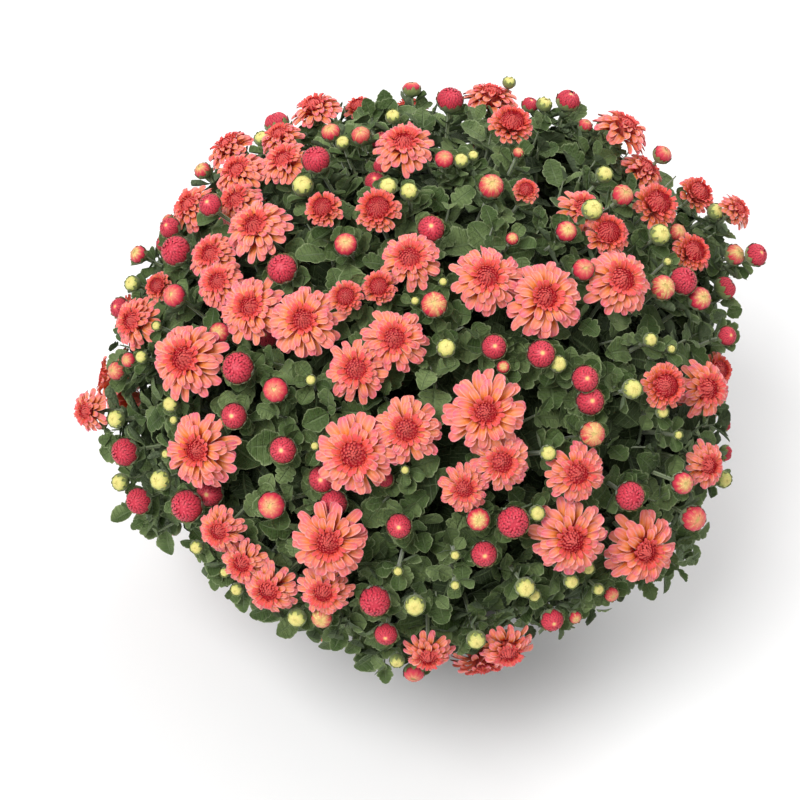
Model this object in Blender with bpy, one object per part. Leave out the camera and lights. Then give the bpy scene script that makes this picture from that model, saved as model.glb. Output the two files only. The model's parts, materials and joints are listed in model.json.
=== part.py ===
"""Pot chrysanthemum: a mound of coral flower heads on leafy stems, growing in a plain pot.

Metres, +Z up. The origin is the middle of the pot's flat foot, and the front of the plant is at -Y.
"""

import math
import random
from collections import namedtuple

import bmesh
import bpy
from mathutils import Matrix, Vector
from mathutils.bvhtree import BVHTree

# Pot
POT_HEIGHT = 0.150
POT_RIM_RADIUS = 0.102
POT_FOOT_RADIUS = 0.074
POT_WALL = 0.0030
POT_FLOOR = 0.0040
RIM_BAND_HEIGHT = 0.024
RIM_BAND_OVERHANG = 0.0035
RIM_BAND_DRAFT = 0.002
LIP_ROUND = 0.0012
FOOT_CHAMFER = 0.002
POT_SIDES = 20
SHARP_ANGLE = math.radians(40)
DRAIN_HOLES = 4
DRAIN_HOLE_RADIUS = 0.0060
DRAIN_HOLE_SIDES = 8
DRAIN_CIRCLE_RADIUS = 0.047

# Potting soil
SOIL_BELOW_RIM = 0.016
SOIL_CROWN = 0.003
SOIL_CROWN_RADIUS = 0.055
SEAT_GAP = 0.0003
SIDE_GAP = 0.00045
HOLE_DEPTH = 0.022

# Mound of the plant: half an egg above its widest level and a flatter one below
MOUND_MIDDLE = Vector((0.0, 0.0, 0.172))
MOUND_RADIUS = 0.180
MOUND_RISE = 0.155
MOUND_DROP = 0.105
TUCK_STEP = 0.009
LOWEST_HEAD = 0.098
# How much a head turns to the eye, by how far down the picture it is, and how much more a closed one does
LEANS_TO_EYE = ((100, 0.25), (250, 0.5), (400, 0.8), (560, 0.8), (640, 0.3))
CLOSED_LEAN = 0.35
LEAN_UP = 0.35

# Leafy stems: one in the middle and a ring of them, each with its own share of the mound
CROWN = Vector((0.0, 0.0, 0.150))
RING_STEMS = 6
RING_START = math.radians(30)
RING_RISE = math.radians(20)
RING_FORK = 0.070
TOP_FORK = 0.062
RING_ROOT_RADIUS = 0.036
STEM_RADIUS = 0.0042
STEM_TOP_RADIUS = 0.0034
STEM_SIDES = 5
SHARE_GAP = 0.0012

# Dense heart of each leafy stem, out of which leaves and stalks stand. It drapes over the pot's rim.
HEART_RADIUS = 0.144
HEART_RISE = 0.121
HEART_DROP = 0.082
HEART_FOOT = 0.110
HEART_BUMPS = (0.97, 1.07)
HEART_SEGMENTS = 14
HEART_RINGS = 8
RIM_CLEARANCE = 0.006
ROOT_SINK = 0.92
ROOT_HALVINGS = 24
CUT_SNAP = 1e-6
FLAT_ANGLE = math.radians(2)

# Stalks and buds. A stalk that ends low comes out over the pot's rim.
STALK_RADIUS = 0.0013
OVER_RIM_RADIUS = 0.124
OVER_RIM_HEIGHT = 0.168
STALK_SIDES = 3
CALYX_RADIUS = 0.0048
CALYX_HEIGHT = 0.0045
SEAT_RADIUS = 0.0041
SEAT_SIDES = 4

# Heads. Reaches and heights are shares of a head's radius.
BLOOM_PETALS = 8
PETAL_LIFT = 0.19
PETAL_THICKNESS = 0.0014
SHOULDER = 0.3
NOTCH_REACH = 0.66
LOW_CROWN = (0.48, 0.40)
HIGH_CROWN = (0.64, 0.58)
BLOOM_EYE_HEIGHT = 0.74
YOUNG_PETALS = 6
YOUNG_TIP = (1.0, 0.80)
YOUNG_NOTCH = (0.82, 0.72)
YOUNG_DOME = (0.58, 1.12)
YOUNG_HEIGHT = 1.25
BUD_SIDES = 5
BUD_LOW = (0.86, 0.55)
BUD_HIGH = (0.94, 1.25)
BUD_HEIGHT = 1.8

# Leaves
LEAF_LENGTH = 0.036
LEAF_WIDTH = 0.029
LEAF_THICKNESS = 0.0014
LEAF_FOLD = 0.005
LEAF_OUTLINE = ((0.0, 0.03), (0.45, 0.05), (0.62, 0.42), (0.70, 0.25), (0.86, 0.50))
LEAF_RIB = (0.45, 0.75)
LEAF_STEP = 0.05
LEAF_SPOTS = 166
LEAF_TRIALS = 50
LEAF_SIZES = (0.8, 1.15)
LEAF_DEPTHS = (0.001, 0.016)
LEAF_DROOP = 0.35
LEAF_TILT = math.radians(20)
LEAF_ARCH = 0.004
TIP_REACH = 0.6
LOWEST_LEAF = 0.106
LEAF_CLEAR = 0.0012

# The picture that the heads were mapped on: where its eye stands and how much it takes in
VIEW_RISE = math.radians(50)
EYE_DISTANCE = 1.0
PICTURE_SIDE = 800
PICTURE_SPAN = 0.476
MIDDLE_ACROSS = 425
MIDDLE_DOWN = 380

Head = namedtuple("Head", "kind across down width tuck")
Placed = namedtuple("Placed", "kind seat axis width turn")

# Heads by kind: across, down and width in the picture's own units, and how deep each one is tucked.
BLOOMS = [
    (316, 110, 50, 0), (230, 149, 50, 0.1), (281, 138, 44, 0.2), (240, 174, 54, 0.2), (285, 163, 52, 0.1),
    (193, 208, 52, 0.7), (238, 203, 50, 0.7), (257, 229, 64, 0.1), (213, 256, 52, 0.2), (220, 283, 50, 0.2),
    (252, 309, 66, 0.1), (305, 322, 74, 0.1), (136, 322, 52, 0), (188, 360, 76, 0), (90, 411, 44, 0),
    (201, 450, 76, 0), (404, 147, 60, 0), (491, 100, 58, 0.8), (622, 131, 60, 0), (643, 172, 48, 0.1),
    (736, 211, 38, 0), (582, 211, 50, 1.2), (619, 282, 68, 0), (487, 279, 68, 0), (544, 300, 80, 0.2),
    (410, 260, 60, 0), (395, 340, 64, 0), (357, 370, 62, 0.2), (355, 454, 80, 0), (407, 430, 68, 0.2),
    (485, 413, 82, 0), (501, 462, 60, 0.1), (464, 488, 50, 0.1), (576, 473, 60, 0), (570, 538, 76, 0.2),
    (642, 549, 74, 0), (330, 541, 76, 0), (325, 590, 54, 0.2), (271, 588, 56, 0), (244, 562, 48, 0.1),
    (221, 530, 48, 0), (428, 652, 50, 0), (507, 647, 54, 0), (704, 389, 58, 0.5), (706, 465, 46, 0),
]
YOUNG_BLOOMS = [
    (359, 107, 30, 1), (346, 297, 34, -0.3), (158, 286, 28, 0), (378, 209, 44, 0), (323, 208, 36, 0),
    (379, 287, 34, 0), (512, 123, 42, 0), (657, 204, 44, 0), (698, 193, 38, 0), (693, 252, 38, 0),
    (608, 233, 42, 0), (665, 386, 44, 0), (718, 370, 34, 2), (526, 190, 26, 0),
]
BALLS = [
    (316, 160, 27, -0.5), (210, 205, 22, -1.3), (170, 228, 20, 0), (176, 251, 29, 0), (282, 269, 29, 0),
    (382, 142, 20, 1.5), (375, 182, 20, 1.5), (450, 100, 25, 0), (568, 101, 23, 0), (530, 105, 16, 1.5),
    (431, 229, 26, 0), (683, 281, 27, 0), (267, 336, 22, 2.5), (238, 368, 31, 0), (283, 450, 26, 0),
    (125, 452, 26, 0), (139, 501, 25, 0), (187, 506, 31, 0), (210, 493, 26, 1.5), (322, 479, 26, 1.5),
    (334, 503, 26, 1.5), (513, 522, 31, 0), (541, 354, 27, 0), (585, 379, 26, 0), (590, 401, 27, 0.6),
    (630, 496, 28, 0), (375, 601, 30, 0), (234, 416, 25, 0), (120, 308, 20, 0), (756, 255, 22, 0),
    (727, 336, 18, 0), (552, 620, 22, 0), (386, 634, 22, 0), (399, 526, 24, 0), (484, 554, 25, 0),
    (494, 347, 24, 0),
]
BUDS = [
    (491, 187, 24, 0), (434, 305, 25, 0), (276, 390, 24, 0), (175, 296, 22, 0), (203, 171, 16, 0),
    (139, 255, 17, 0), (331, 133, 18, 0), (361, 136, 18, 0), (444, 160, 18, 0), (585, 126, 14, 0),
    (622, 196, 21, 0), (566, 232, 20, 0), (734, 255, 20, 0), (662, 288, 24, 0),
    (699, 299, 22, 0), (583, 270, 21, 0), (220, 333, 20, 1), (117, 371, 17, 0), (129, 360, 14, 0),
    (272, 505, 26, 0), (478, 519, 22, 0), (592, 434, 24, 0), (682, 483, 21, 0), (693, 518, 24, 0),
    (346, 245, 22, 0), (414, 672, 20, 0), (611, 594, 14, 0), (677, 233, 17, 0), (322, 617, 20, 0),
]
GREEN_BUDS = [
    (303, 186, 20, 0), (388, 187, 17, -0.6), (409, 192, 17, 0), (592, 210, 20, -0.8), (659, 235, 20, 0),
    (117, 419, 17, 0), (121, 482, 17, 0), (161, 480, 20, 0), (446, 348, 18, 0), (632, 389, 19, 0),
    (415, 605, 20, 0), (297, 617, 18, 0), (525, 587, 19, 0), (476, 639, 18, 0),
]
SEEN_HEADS = {"bloom": BLOOMS, "young": YOUNG_BLOOMS, "ball": BALLS, "bud": BUDS, "green": GREEN_BUDS}

# The side turned away from the picture has pairs of blooms on a golden-angle spiral, and small heads
# on a finer one between them.
GOLDEN_ANGLE = math.pi * (3 - math.sqrt(5))
PAIR_STEPS = 30
FILL_STEPS = 64
FILL_KINDS = ("bud", "ball", "green", "young", "ball", "bud")
MIDDLE_HEIGHTS = {"bloom": 0.35, "young": 0.7, "ball": 0.9, "bud": 0.9, "green": 0.9}
USUAL_WIDTHS = {"bloom": 0.037, "young": 0.022, "ball": 0.014, "bud": 0.011, "green": 0.009}
WIDTH_RANGE = (0.92, 1.06)
PAIR_REACH = 0.33
HIDDEN_ABOVE = 0.1
HIDDEN_BELOW = -0.3
HIDDEN_CLEAR = 0.56


def mound_radii(z, grow):
    """Radii of the mound's surface on this side of its widest level, grown outward by grow."""
    height = MOUND_RISE if z >= MOUND_MIDDLE.z else MOUND_DROP
    return Vector((MOUND_RADIUS + grow, MOUND_RADIUS + grow, height + grow))


def out_of_mound(point):
    """Direction square to the mound's surface at a point on it."""
    radii = mound_radii(point.z, 0)
    offset = point - MOUND_MIDDLE
    return Vector([offset[i] / radii[i] ** 2 for i in range(3)]).normalized()


def on_mound(eye, sight, grow):
    """Where a line of sight meets the mound's upper or lower half, or comes nearest to it."""
    for side in (1, -1):
        radii = mound_radii(MOUND_MIDDLE.z + side, grow)
        start = Vector([(eye - MOUND_MIDDLE)[i] / radii[i] for i in range(3)])
        step = Vector([sight[i] / radii[i] for i in range(3)])
        middle = -start.dot(step) / step.length_squared
        short = middle ** 2 - (start.length_squared - 1) / step.length_squared
        travel = middle - math.sqrt(short) if short > 0 else middle
        point = eye + sight * travel
        if (point.z - MOUND_MIDDLE.z) * side >= 0:
            break
    return point


def eye_frame():
    """Where the picture's eye stands, with its forward, right and up directions."""
    back = Vector((0, -math.cos(VIEW_RISE), math.sin(VIEW_RISE)))
    right = Vector((1, 0, 0))
    up = Vector((0, math.sin(VIEW_RISE), math.cos(VIEW_RISE)))
    unit = PICTURE_SPAN * EYE_DISTANCE / PICTURE_SIDE
    centre = PICTURE_SIDE / 2
    aim = MOUND_MIDDLE - right * (MIDDLE_ACROSS - centre) * unit - up * (centre - MIDDLE_DOWN) * unit
    return aim + back * EYE_DISTANCE, -back, right, up


def lean_of(head):
    """How far a head turns from the mound's own direction to the light, which is where the eye is."""
    lean = LEANS_TO_EYE[-1][1]
    for (low, before), (high, after) in zip(LEANS_TO_EYE, LEANS_TO_EYE[1:]):
        if head.down < high:
            share = max(0, (head.down - low) / (high - low))
            lean = before + (after - before) * share
            break
    return lean if head.kind == "bloom" else lean + CLOSED_LEAN


def place_seen(head, random_turn):
    """A head of the picture. Its middle is on the line of sight, over the mound's surface."""
    eye, forward, right, up = eye_frame()
    unit = PICTURE_SPAN / PICTURE_SIDE
    centre = PICTURE_SIDE / 2
    sight = forward + right * (head.across - centre) * unit + up * (centre - head.down) * unit
    surface = on_mound(eye, sight, -head.tuck * TUCK_STEP)
    width = head.width * unit * (surface - eye).length
    rise = MIDDLE_HEIGHTS[head.kind] * width / 2
    middle = on_mound(eye, sight, rise - head.tuck * TUCK_STEP)
    axis = (out_of_mound(middle) + lean_of(head) * (eye - middle).normalized()).normalized()
    return Placed(head.kind, middle - axis * rise, axis, width, random_turn)


def spiral_directions(count):
    """Directions spread evenly over a ball, from its top down."""
    for k in range(count):
        height = 1 - 2 * (k + 0.5) / count
        ring = math.sqrt(1 - height ** 2)
        yield Vector((ring * math.cos(k * GOLDEN_ANGLE), ring * math.sin(k * GOLDEN_ANGLE), height))


def hidden_points(steps):
    """Points spread evenly over the side of the mound that the picture can't show."""
    eye = eye_frame()[0]
    for direction in spiral_directions(steps):
        radii = mound_radii(MOUND_MIDDLE.z + direction.z, 0)
        point = MOUND_MIDDLE + Vector([direction[i] * radii[i] for i in range(3)])
        facing = out_of_mound(point).dot((eye - point).normalized())
        least = HIDDEN_ABOVE if point.z > MOUND_MIDDLE.z else HIDDEN_BELOW
        if point.z > LOWEST_HEAD and facing < least:
            yield point


def to_mound(point):
    """The point of the mound's surface in the same direction from its middle."""
    radii = mound_radii(point.z, 0)
    offset = point - MOUND_MIDDLE
    reach = Vector([offset[i] / radii[i] for i in range(3)]).length
    return MOUND_MIDDLE + offset / reach


def place_hidden(seen, rng):
    """Heads where the picture can't show them: pairs of touching blooms, then small heads between."""
    placed = list(seen)

    def add(group):
        """Places a group of heads if each is clear of all that are placed already."""
        for head in group:
            if any((p.seat - head.seat).length < HIDDEN_CLEAR * (p.width + head.width) for p in placed):
                return
        placed.extend(group)

    def at(point, kind):
        axis = (out_of_mound(point) + Vector((0, 0, LEAN_UP))).normalized()
        return Placed(kind, point, axis, USUAL_WIDTHS[kind] * rng.uniform(*WIDTH_RANGE), rng.random())

    for point in hidden_points(PAIR_STEPS):
        normal = out_of_mound(point)
        along = Matrix.Rotation(rng.uniform(0, math.pi), 3, normal) @ normal.orthogonal().normalized()
        reach = along * PAIR_REACH * USUAL_WIDTHS["bloom"]
        add([at(to_mound(point + reach), "bloom"), at(to_mound(point - reach), "bloom")])
    for number, point in enumerate(hidden_points(FILL_STEPS)):
        add([at(point, FILL_KINDS[number % len(FILL_KINDS)])])
    return placed[len(seen):]


def all_heads():
    """Every head that is modelled, seen ones first."""
    rng = random.Random(11)
    seen = [place_seen(Head(kind, *row), rng.random()) for kind, rows in SEEN_HEADS.items() for row in rows]
    return seen + place_hidden(seen, rng)


# Closed shapes as corner and face lists, and the objects made from them


def new_mesh(name, corners, faces):
    """A closed mesh with its faces turned out."""
    mesh = bpy.data.meshes.new(name)
    mesh.from_pydata([tuple(c) for c in corners], [], faces)
    bm = bmesh.new()
    bm.from_mesh(mesh)
    bmesh.ops.recalc_face_normals(bm, faces=bm.faces)
    bm.to_mesh(mesh)
    bm.free()
    return mesh


def meshes_of(name, shapes):
    return [new_mesh(name, *shape) for shape in shapes]


def new_object(name, mesh, material=None):
    obj = bpy.data.objects.new(name, mesh)
    bpy.context.scene.collection.objects.link(obj)
    if material:
        mesh.materials.clear()
        mesh.materials.append(material)
    return obj


def new_material(name, colour, roughness, metallic=0.0):
    material = bpy.data.materials.new(name)
    material.use_nodes = True
    shader = material.node_tree.nodes["Principled BSDF"]
    shader.inputs["Base Color"].default_value = (*colour, 1)
    shader.inputs["Roughness"].default_value = roughness
    shader.inputs["Metallic"].default_value = metallic
    return material


def ring_band(lower, upper):
    """Faces between two rings of corner numbers, which may differ in length."""
    faces = []
    a = b = 0
    while a < len(lower) or b < len(upper):
        step_a = (a + 0.5) / len(lower) if a < len(lower) else 2
        step_b = (b + 0.5) / len(upper) if b < len(upper) else 2
        here_a, here_b = lower[a % len(lower)], upper[b % len(upper)]
        if step_a <= step_b:
            faces.append((here_a, lower[(a + 1) % len(lower)], here_b))
            a += 1
        else:
            faces.append((here_a, upper[(b + 1) % len(upper)], here_b))
            b += 1
    return faces


def stacked_rings(rings):
    """A closed shape through rings of corners, from bottom to top. A ring of one corner is a point."""
    corners, faces, numbers = [], [], []
    for ring in rings:
        numbers.append(list(range(len(corners), len(corners) + len(ring))))
        corners.extend(ring)
    for lower, upper in zip(numbers, numbers[1:]):
        if len(lower) == 1:
            faces.extend((lower[0], upper[i], upper[(i + 1) % len(upper)]) for i in range(len(upper)))
        elif len(upper) == 1:
            faces.extend((lower[i], lower[(i + 1) % len(lower)], upper[0]) for i in range(len(lower)))
        else:
            faces.extend(ring_band(lower, upper))
    for end in (numbers[0], numbers[-1]):
        if len(end) > 1:
            faces.append(tuple(end))
    return corners, faces


def circle(radius, z, sides, turn=0.0):
    step = 2 * math.pi / sides
    return [
        Vector((radius * math.cos(turn + i * step), radius * math.sin(turn + i * step), z))
        for i in range(sides)
    ]


def standing(seat, axis, turn):
    """The place of a shape that stands on seat along axis, turned by a share of a full turn."""
    upright = axis.to_track_quat("Z", "Y").to_matrix().to_4x4()
    return Matrix.Translation(seat) @ upright @ Matrix.Rotation(turn * 2 * math.pi, 4, "Z")


def placed(shape, place):
    corners, faces = shape
    return [place @ c for c in corners], faces


def polar(reach, angle, z):
    return Vector((reach * math.cos(angle), reach * math.sin(angle), z))


def bloom_shape(width):
    """An open flower head: a ring of blunt petals, a raised ring of shorter ones between, and its eye."""
    petal = 2 * math.pi / BLOOM_PETALS
    radius = width / 2
    lift = PETAL_LIFT * radius + PETAL_THICKNESS
    rim, crown = [], []
    for i in range(BLOOM_PETALS):
        rim.append(polar(radius, (i - SHOULDER) * petal, lift))
        rim.append(polar(radius, (i + SHOULDER) * petal, lift))
        rim.append(polar(NOTCH_REACH * radius, (i + 0.5) * petal, lift))
        for turn, (reach, height) in ((0, LOW_CROWN), (0.5, HIGH_CROWN)):
            crown.append(polar(reach * radius, (i + turn) * petal, height * radius))
    eye = [Vector((0, 0, BLOOM_EYE_HEIGHT * radius))]
    return stacked_rings([circle(SEAT_RADIUS, 0, SEAT_SIDES), rim, crown, eye])


def young_rings(width):
    """Rings of a half-open head: a tight dome with the first petals standing off it."""
    radius = width / 2
    rim = []
    for i in range(YOUNG_PETALS):
        for turn, (reach, height) in ((0, YOUNG_TIP), (0.5, YOUNG_NOTCH)):
            rim.append(polar(reach * radius, (i + turn) * 2 * math.pi / YOUNG_PETALS, height * radius))
    reach, height = YOUNG_DOME
    dome = circle(reach * radius, height * radius, YOUNG_PETALS)
    return [rim, dome, [Vector((0, 0, YOUNG_HEIGHT * radius))]]


def bud_rings(width):
    """Rings of a closed bud over its seat, widest above its middle."""
    radius = width / 2
    low = circle(BUD_LOW[0] * radius, BUD_LOW[1] * radius, BUD_SIDES)
    high = circle(BUD_HIGH[0] * radius, BUD_HIGH[1] * radius, BUD_SIDES, math.pi / BUD_SIDES)
    return [low, high, [Vector((0, 0, BUD_HEIGHT * radius))]]


def tube_rings(path, radii, sides):
    """Rings of a tube along a path, with its own radius at each point."""
    rings = []
    for i, point in enumerate(path):
        ahead = path[min(i + 1, len(path) - 1)] - path[max(i - 1, 0)]
        place = standing(point, ahead.normalized(), 0)
        rings.append([place @ c for c in circle(radii[i], 0, sides)])
    return rings


# Shares of the mound: every direction from the crown belongs to the leafy stem nearest to it


def stem_axes():
    ring = []
    for i in range(RING_STEMS):
        angle = RING_START + i * 2 * math.pi / RING_STEMS
        flat = math.cos(RING_RISE)
        ring.append(Vector((flat * math.cos(angle), flat * math.sin(angle), math.sin(RING_RISE))))
    return [Vector((0, 0, 1)), *ring]


def share_of(point, axes):
    direction = (point - CROWN).normalized()
    return max(range(len(axes)), key=lambda i: direction.dot(axes[i]))


def clear_of_neighbours(point, own, axes):
    """Whether a point stays well inside its stem's share of the mound."""
    offset = point - CROWN
    others = [axis for i, axis in enumerate(axes) if i != own]
    return all(offset.dot((axes[own] - axis).normalized()) > LEAF_CLEAR for axis in others)


def in_heart(point, scale=1.0):
    offset = point - MOUND_MIDDLE
    height = HEART_RISE if offset.z >= 0 else HEART_DROP
    level = (offset.x / HEART_RADIUS) ** 2 + (offset.y / HEART_RADIUS) ** 2 + (offset.z / height) ** 2
    return level < scale ** 2 and point.z > HEART_FOOT + STALK_RADIUS


def heart_mesh(name, own, axes):
    """This stem's share of the plant's dense heart, hollowed where the pot stands."""
    bm = bmesh.new()
    bmesh.ops.create_uvsphere(bm, u_segments=HEART_SEGMENTS, v_segments=HEART_RINGS, radius=1)
    rng = random.Random(2)
    for vert in bm.verts:
        radius = HEART_RADIUS * rng.uniform(*HEART_BUMPS)
        height = HEART_RISE if vert.co.z >= 0 else HEART_DROP
        vert.co = MOUND_MIDDLE + Vector((vert.co.x * radius, vert.co.y * radius, vert.co.z * height))
    cuts = [(Vector((0, 0, HEART_FOOT)), Vector((0, 0, -1)))]
    for i, axis in enumerate(axes):
        if i != own:
            outward = (axis - axes[own]).normalized()
            cuts.append((CROWN - outward * SHARE_GAP / 2, outward))
    for point, outward in cuts:
        everything = bm.verts[:] + bm.edges[:] + bm.faces[:]
        plane = {"plane_co": point, "plane_no": outward, "dist": CUT_SNAP}
        bmesh.ops.bisect_plane(bm, geom=everything, clear_outer=True, **plane)
        rim = [edge for edge in bm.edges if edge.is_boundary]
        if rim:
            bmesh.ops.holes_fill(bm, edges=rim)
    bmesh.ops.dissolve_limit(bm, angle_limit=FLAT_ANGLE, verts=bm.verts, edges=bm.edges)
    bmesh.ops.recalc_face_normals(bm, faces=bm.faces)
    mesh = bpy.data.meshes.new(name)
    bm.to_mesh(mesh)
    bm.free()
    heart = new_object(name, mesh)
    room = [circle(POT_RIM_RADIUS + RIM_CLEARANCE, z, POT_SIDES) for z in (0, POT_HEIGHT + RIM_CLEARANCE)]
    cutter = cut_out(heart, "pot_room", stacked_rings(room))
    hollowed = evaluated_mesh(heart)
    bpy.data.objects.remove(cutter)
    bpy.data.objects.remove(heart)
    return hollowed


def stem_root(own, axes):
    if own == 0:
        return Vector((0, 0, 0))
    flat = Vector((axes[own].x, axes[own].y, 0)).normalized()
    return flat * RING_ROOT_RADIUS


def fork_of(own, axes):
    return CROWN + axes[own] * (TOP_FORK if own == 0 else RING_FORK)


def main_stem_shape(own, axes):
    root = stem_root(own, axes)
    soil_top = POT_HEIGHT - SOIL_BELOW_RIM
    foot = root + Vector((0, 0, soil_top - HOLE_DEPTH + SEAT_GAP))
    collar = root + Vector((0, 0, soil_top + 2 * SOIL_CROWN))
    bend = root + Vector((0, 0, POT_HEIGHT))
    radii = [STEM_RADIUS, STEM_RADIUS, STEM_RADIUS, STEM_TOP_RADIUS]
    return stacked_rings(tube_rings([foot, collar, bend, fork_of(own, axes)], radii, STEM_SIDES))


def heart_exit(fork, end):
    """Where a line from the fork to the end is still well inside the heart."""
    low, high = 0.0, 1.0
    for _ in range(ROOT_HALVINGS):
        half = (low + high) / 2
        if in_heart(fork.lerp(end, half), ROOT_SINK):
            low = half
        else:
            high = half
    return fork.lerp(end, low)


def stalk_root(fork, end):
    """Where a stalk leaves the heart on its way to its end, over the rim if it ends low."""
    flat = Vector((end.x, end.y, 0)).normalized()
    start = fork if end.z > OVER_RIM_HEIGHT else flat * OVER_RIM_RADIUS + Vector((0, 0, OVER_RIM_HEIGHT))
    return heart_exit(start, end)


def stalk_shape(head, own, axes):
    """The stalk of a head: with the head itself where it is a bud or half open, or with its calyx."""
    fork = fork_of(own, axes)
    if head.kind == "bloom":
        base = head.seat - head.axis * SEAT_GAP
        neck = base - head.axis * CALYX_HEIGHT
        path = [stalk_root(fork, neck), neck, base]
        return stacked_rings(tube_rings(path, [STALK_RADIUS, STALK_RADIUS, CALYX_RADIUS], STALK_SIDES))
    rings = young_rings(head.width) if head.kind == "young" else bud_rings(head.width)
    place = standing(head.seat, head.axis, head.turn)
    stalk = tube_rings([stalk_root(fork, head.seat), head.seat], [STALK_RADIUS] * 2, STALK_SIDES)
    return stacked_rings(stalk + [[place @ c for c in ring] for ring in rings])


# Leaves


def leaf_shape(root, bend, tip, side, size):
    """A lobed blade, folded a little along its rib, arched from its root over the bend to its tip."""

    def along(share):
        return root.lerp(bend, share).lerp(bend.lerp(tip, share), share)

    def square_up(share):
        ahead = (along(min(share + LEAF_STEP, 1)) - along(max(share - LEAF_STEP, 0))).normalized()
        return -ahead.cross(side).normalized()

    edge = []
    for share, reach in LEAF_OUTLINE:
        lift = square_up(share) * reach * LEAF_FOLD
        for sign in (-1, 1):
            edge.append(along(share) + side * sign * reach * LEAF_WIDTH * size + lift)
    rib = []
    for share in LEAF_RIB:
        rib.append(along(share) + square_up(share) * LEAF_THICKNESS / 2)
        rib.append(along(share) - square_up(share) * LEAF_THICKNESS / 2)
    corners = [*edge, tip, *rib]
    end = len(edge)
    faces = []
    for face in (0, 1):
        near, far = end + 1 + face, end + 3 + face
        faces.append((0, 1, near))
        for hand in (0, 1):
            faces.extend(((hand, 2 + hand, near), (2 + hand, far, near)))
            outline = [*range(2 + hand, end, 2), end]
            faces.extend((a, b, far) for a, b in zip(outline, outline[1:]))
    return corners, faces


def leaf_trial(direction, rng):
    """One way for a leaf to stand at a spot of the mound, in a random size, heading and depth."""
    size = rng.uniform(*LEAF_SIZES)
    depth = rng.uniform(*LEAF_DEPTHS)
    radii = mound_radii(MOUND_MIDDLE.z + direction.z, -depth)
    middle = MOUND_MIDDLE + Vector([direction[i] * radii[i] for i in range(3)])
    normal = out_of_mound(middle)
    heading = Matrix.Rotation(rng.uniform(0, 2 * math.pi), 3, normal) @ normal.orthogonal().normalized()
    heading = heading + Vector((0, 0, -LEAF_DROOP))
    heading = (heading - normal * heading.dot(normal)).normalized()
    side = heading.cross(normal).normalized()
    heading = heading * math.cos(LEAF_TILT) + normal * math.sin(LEAF_TILT)
    reach = heading * LEAF_LENGTH * size
    tip = middle + reach * TIP_REACH - normal * LEAF_ARCH
    bend = middle - reach * (1 - TIP_REACH) + normal * LEAF_ARCH
    return heart_point_under(middle - reach * TIP_REACH), bend, tip, side, size


def heart_point_under(point):
    """The point just inside the heart's surface that is nearly under a point of the mound."""
    start = MOUND_MIDDLE + Vector((point.x, point.y, 0)) * HEART_RADIUS / MOUND_RADIUS
    return heart_exit(start, point)


def tree_of(shape):
    corners, faces = shape
    return BVHTree.FromPolygons([tuple(c) for c in corners], faces)


def outside_pot(corner):
    return corner.z > POT_HEIGHT + RIM_CLEARANCE or corner.to_2d().length > POT_RIM_RADIUS + RIM_CLEARANCE


def leaves_for(stems, blooms, axes):
    """Leaves that fit between everything else, given to the stems whose shares they stand in."""
    rng = random.Random(5)
    heights = (0, POT_HEIGHT + SHARE_GAP)
    rim = stacked_rings([circle(POT_RIM_RADIUS + SHARE_GAP, z, POT_SIDES) for z in heights])
    taken = [tree_of(shape) for shape in [rim, *blooms]]
    taken.extend(tree_of(shape) for shapes in stems for shape in shapes)
    leaves = [[] for _ in axes]
    for direction in spiral_directions(LEAF_SPOTS):
        if MOUND_MIDDLE.z + direction.z * MOUND_DROP < LOWEST_LEAF:
            break
        for _ in range(LEAF_TRIALS):
            place = leaf_trial(direction, rng)
            own = share_of(place[1], axes)
            shape = leaf_shape(*place)
            if not all(clear_of_neighbours(c, own, axes) and outside_pot(c) for c in shape[0]):
                continue
            tree = tree_of(shape)
            if any(tree.overlap(other) for other in taken):
                continue
            leaves[own].append(shape)
            taken.append(tree)
            break
    return leaves


# Joining repeats into one body


def islands(bm):
    """The separate shells of a mesh, each a list of faces."""
    left = set(bm.faces)
    found = []
    while left:
        shell, edge = [], [left.pop()]
        while edge:
            face = edge.pop()
            shell.append(face)
            for neighbour in {f for e in face.edges for f in e.link_faces} & left:
                left.discard(neighbour)
                edge.append(neighbour)
        found.append(shell)
    return found


def shell_volume(shell):
    total = 0.0
    for face in shell:
        first, *rest = [loop.vert.co for loop in face.loops]
        total += sum(first.dot(a.cross(b)) for a, b in zip(rest, rest[1:]))
    return total / 6


def keep_one_body(mesh):
    """Fills sealed hollows and drops loose scraps, leaving the largest shell."""
    bm = bmesh.new()
    bm.from_mesh(mesh)
    shells = sorted(islands(bm), key=shell_volume)
    spare = [face for shell in shells[:-1] for face in shell]
    bmesh.ops.delete(bm, geom=spare, context="FACES")
    bmesh.ops.triangulate(bm, faces=bm.faces)
    bm.to_mesh(mesh)
    bm.free()


def fuse(name, meshes, material):
    """One body from many closed meshes. So many at once need the manifold solver, which is quick."""
    body = new_object(name, meshes[0])
    if len(meshes) > 1:
        others = bpy.data.collections.new(name)
        bpy.context.scene.collection.children.link(others)
        for i, mesh in enumerate(meshes[1:]):
            others.objects.link(bpy.data.objects.new(f"{name}_{i}", mesh))
        join = body.modifiers.new("Join", "BOOLEAN")
        join.operation = "UNION"
        join.operand_type = "COLLECTION"
        join.collection = others
        join.solver = "MANIFOLD"
        joined = evaluated_mesh(body)
        body.modifiers.clear()
        for obj in list(others.objects):
            bpy.data.objects.remove(obj)
        bpy.data.collections.remove(others)
        body.data = joined
    keep_one_body(body.data)
    body.data.name = name
    body.data.materials.clear()
    body.data.materials.append(material)
    return body


# The pieces


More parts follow.
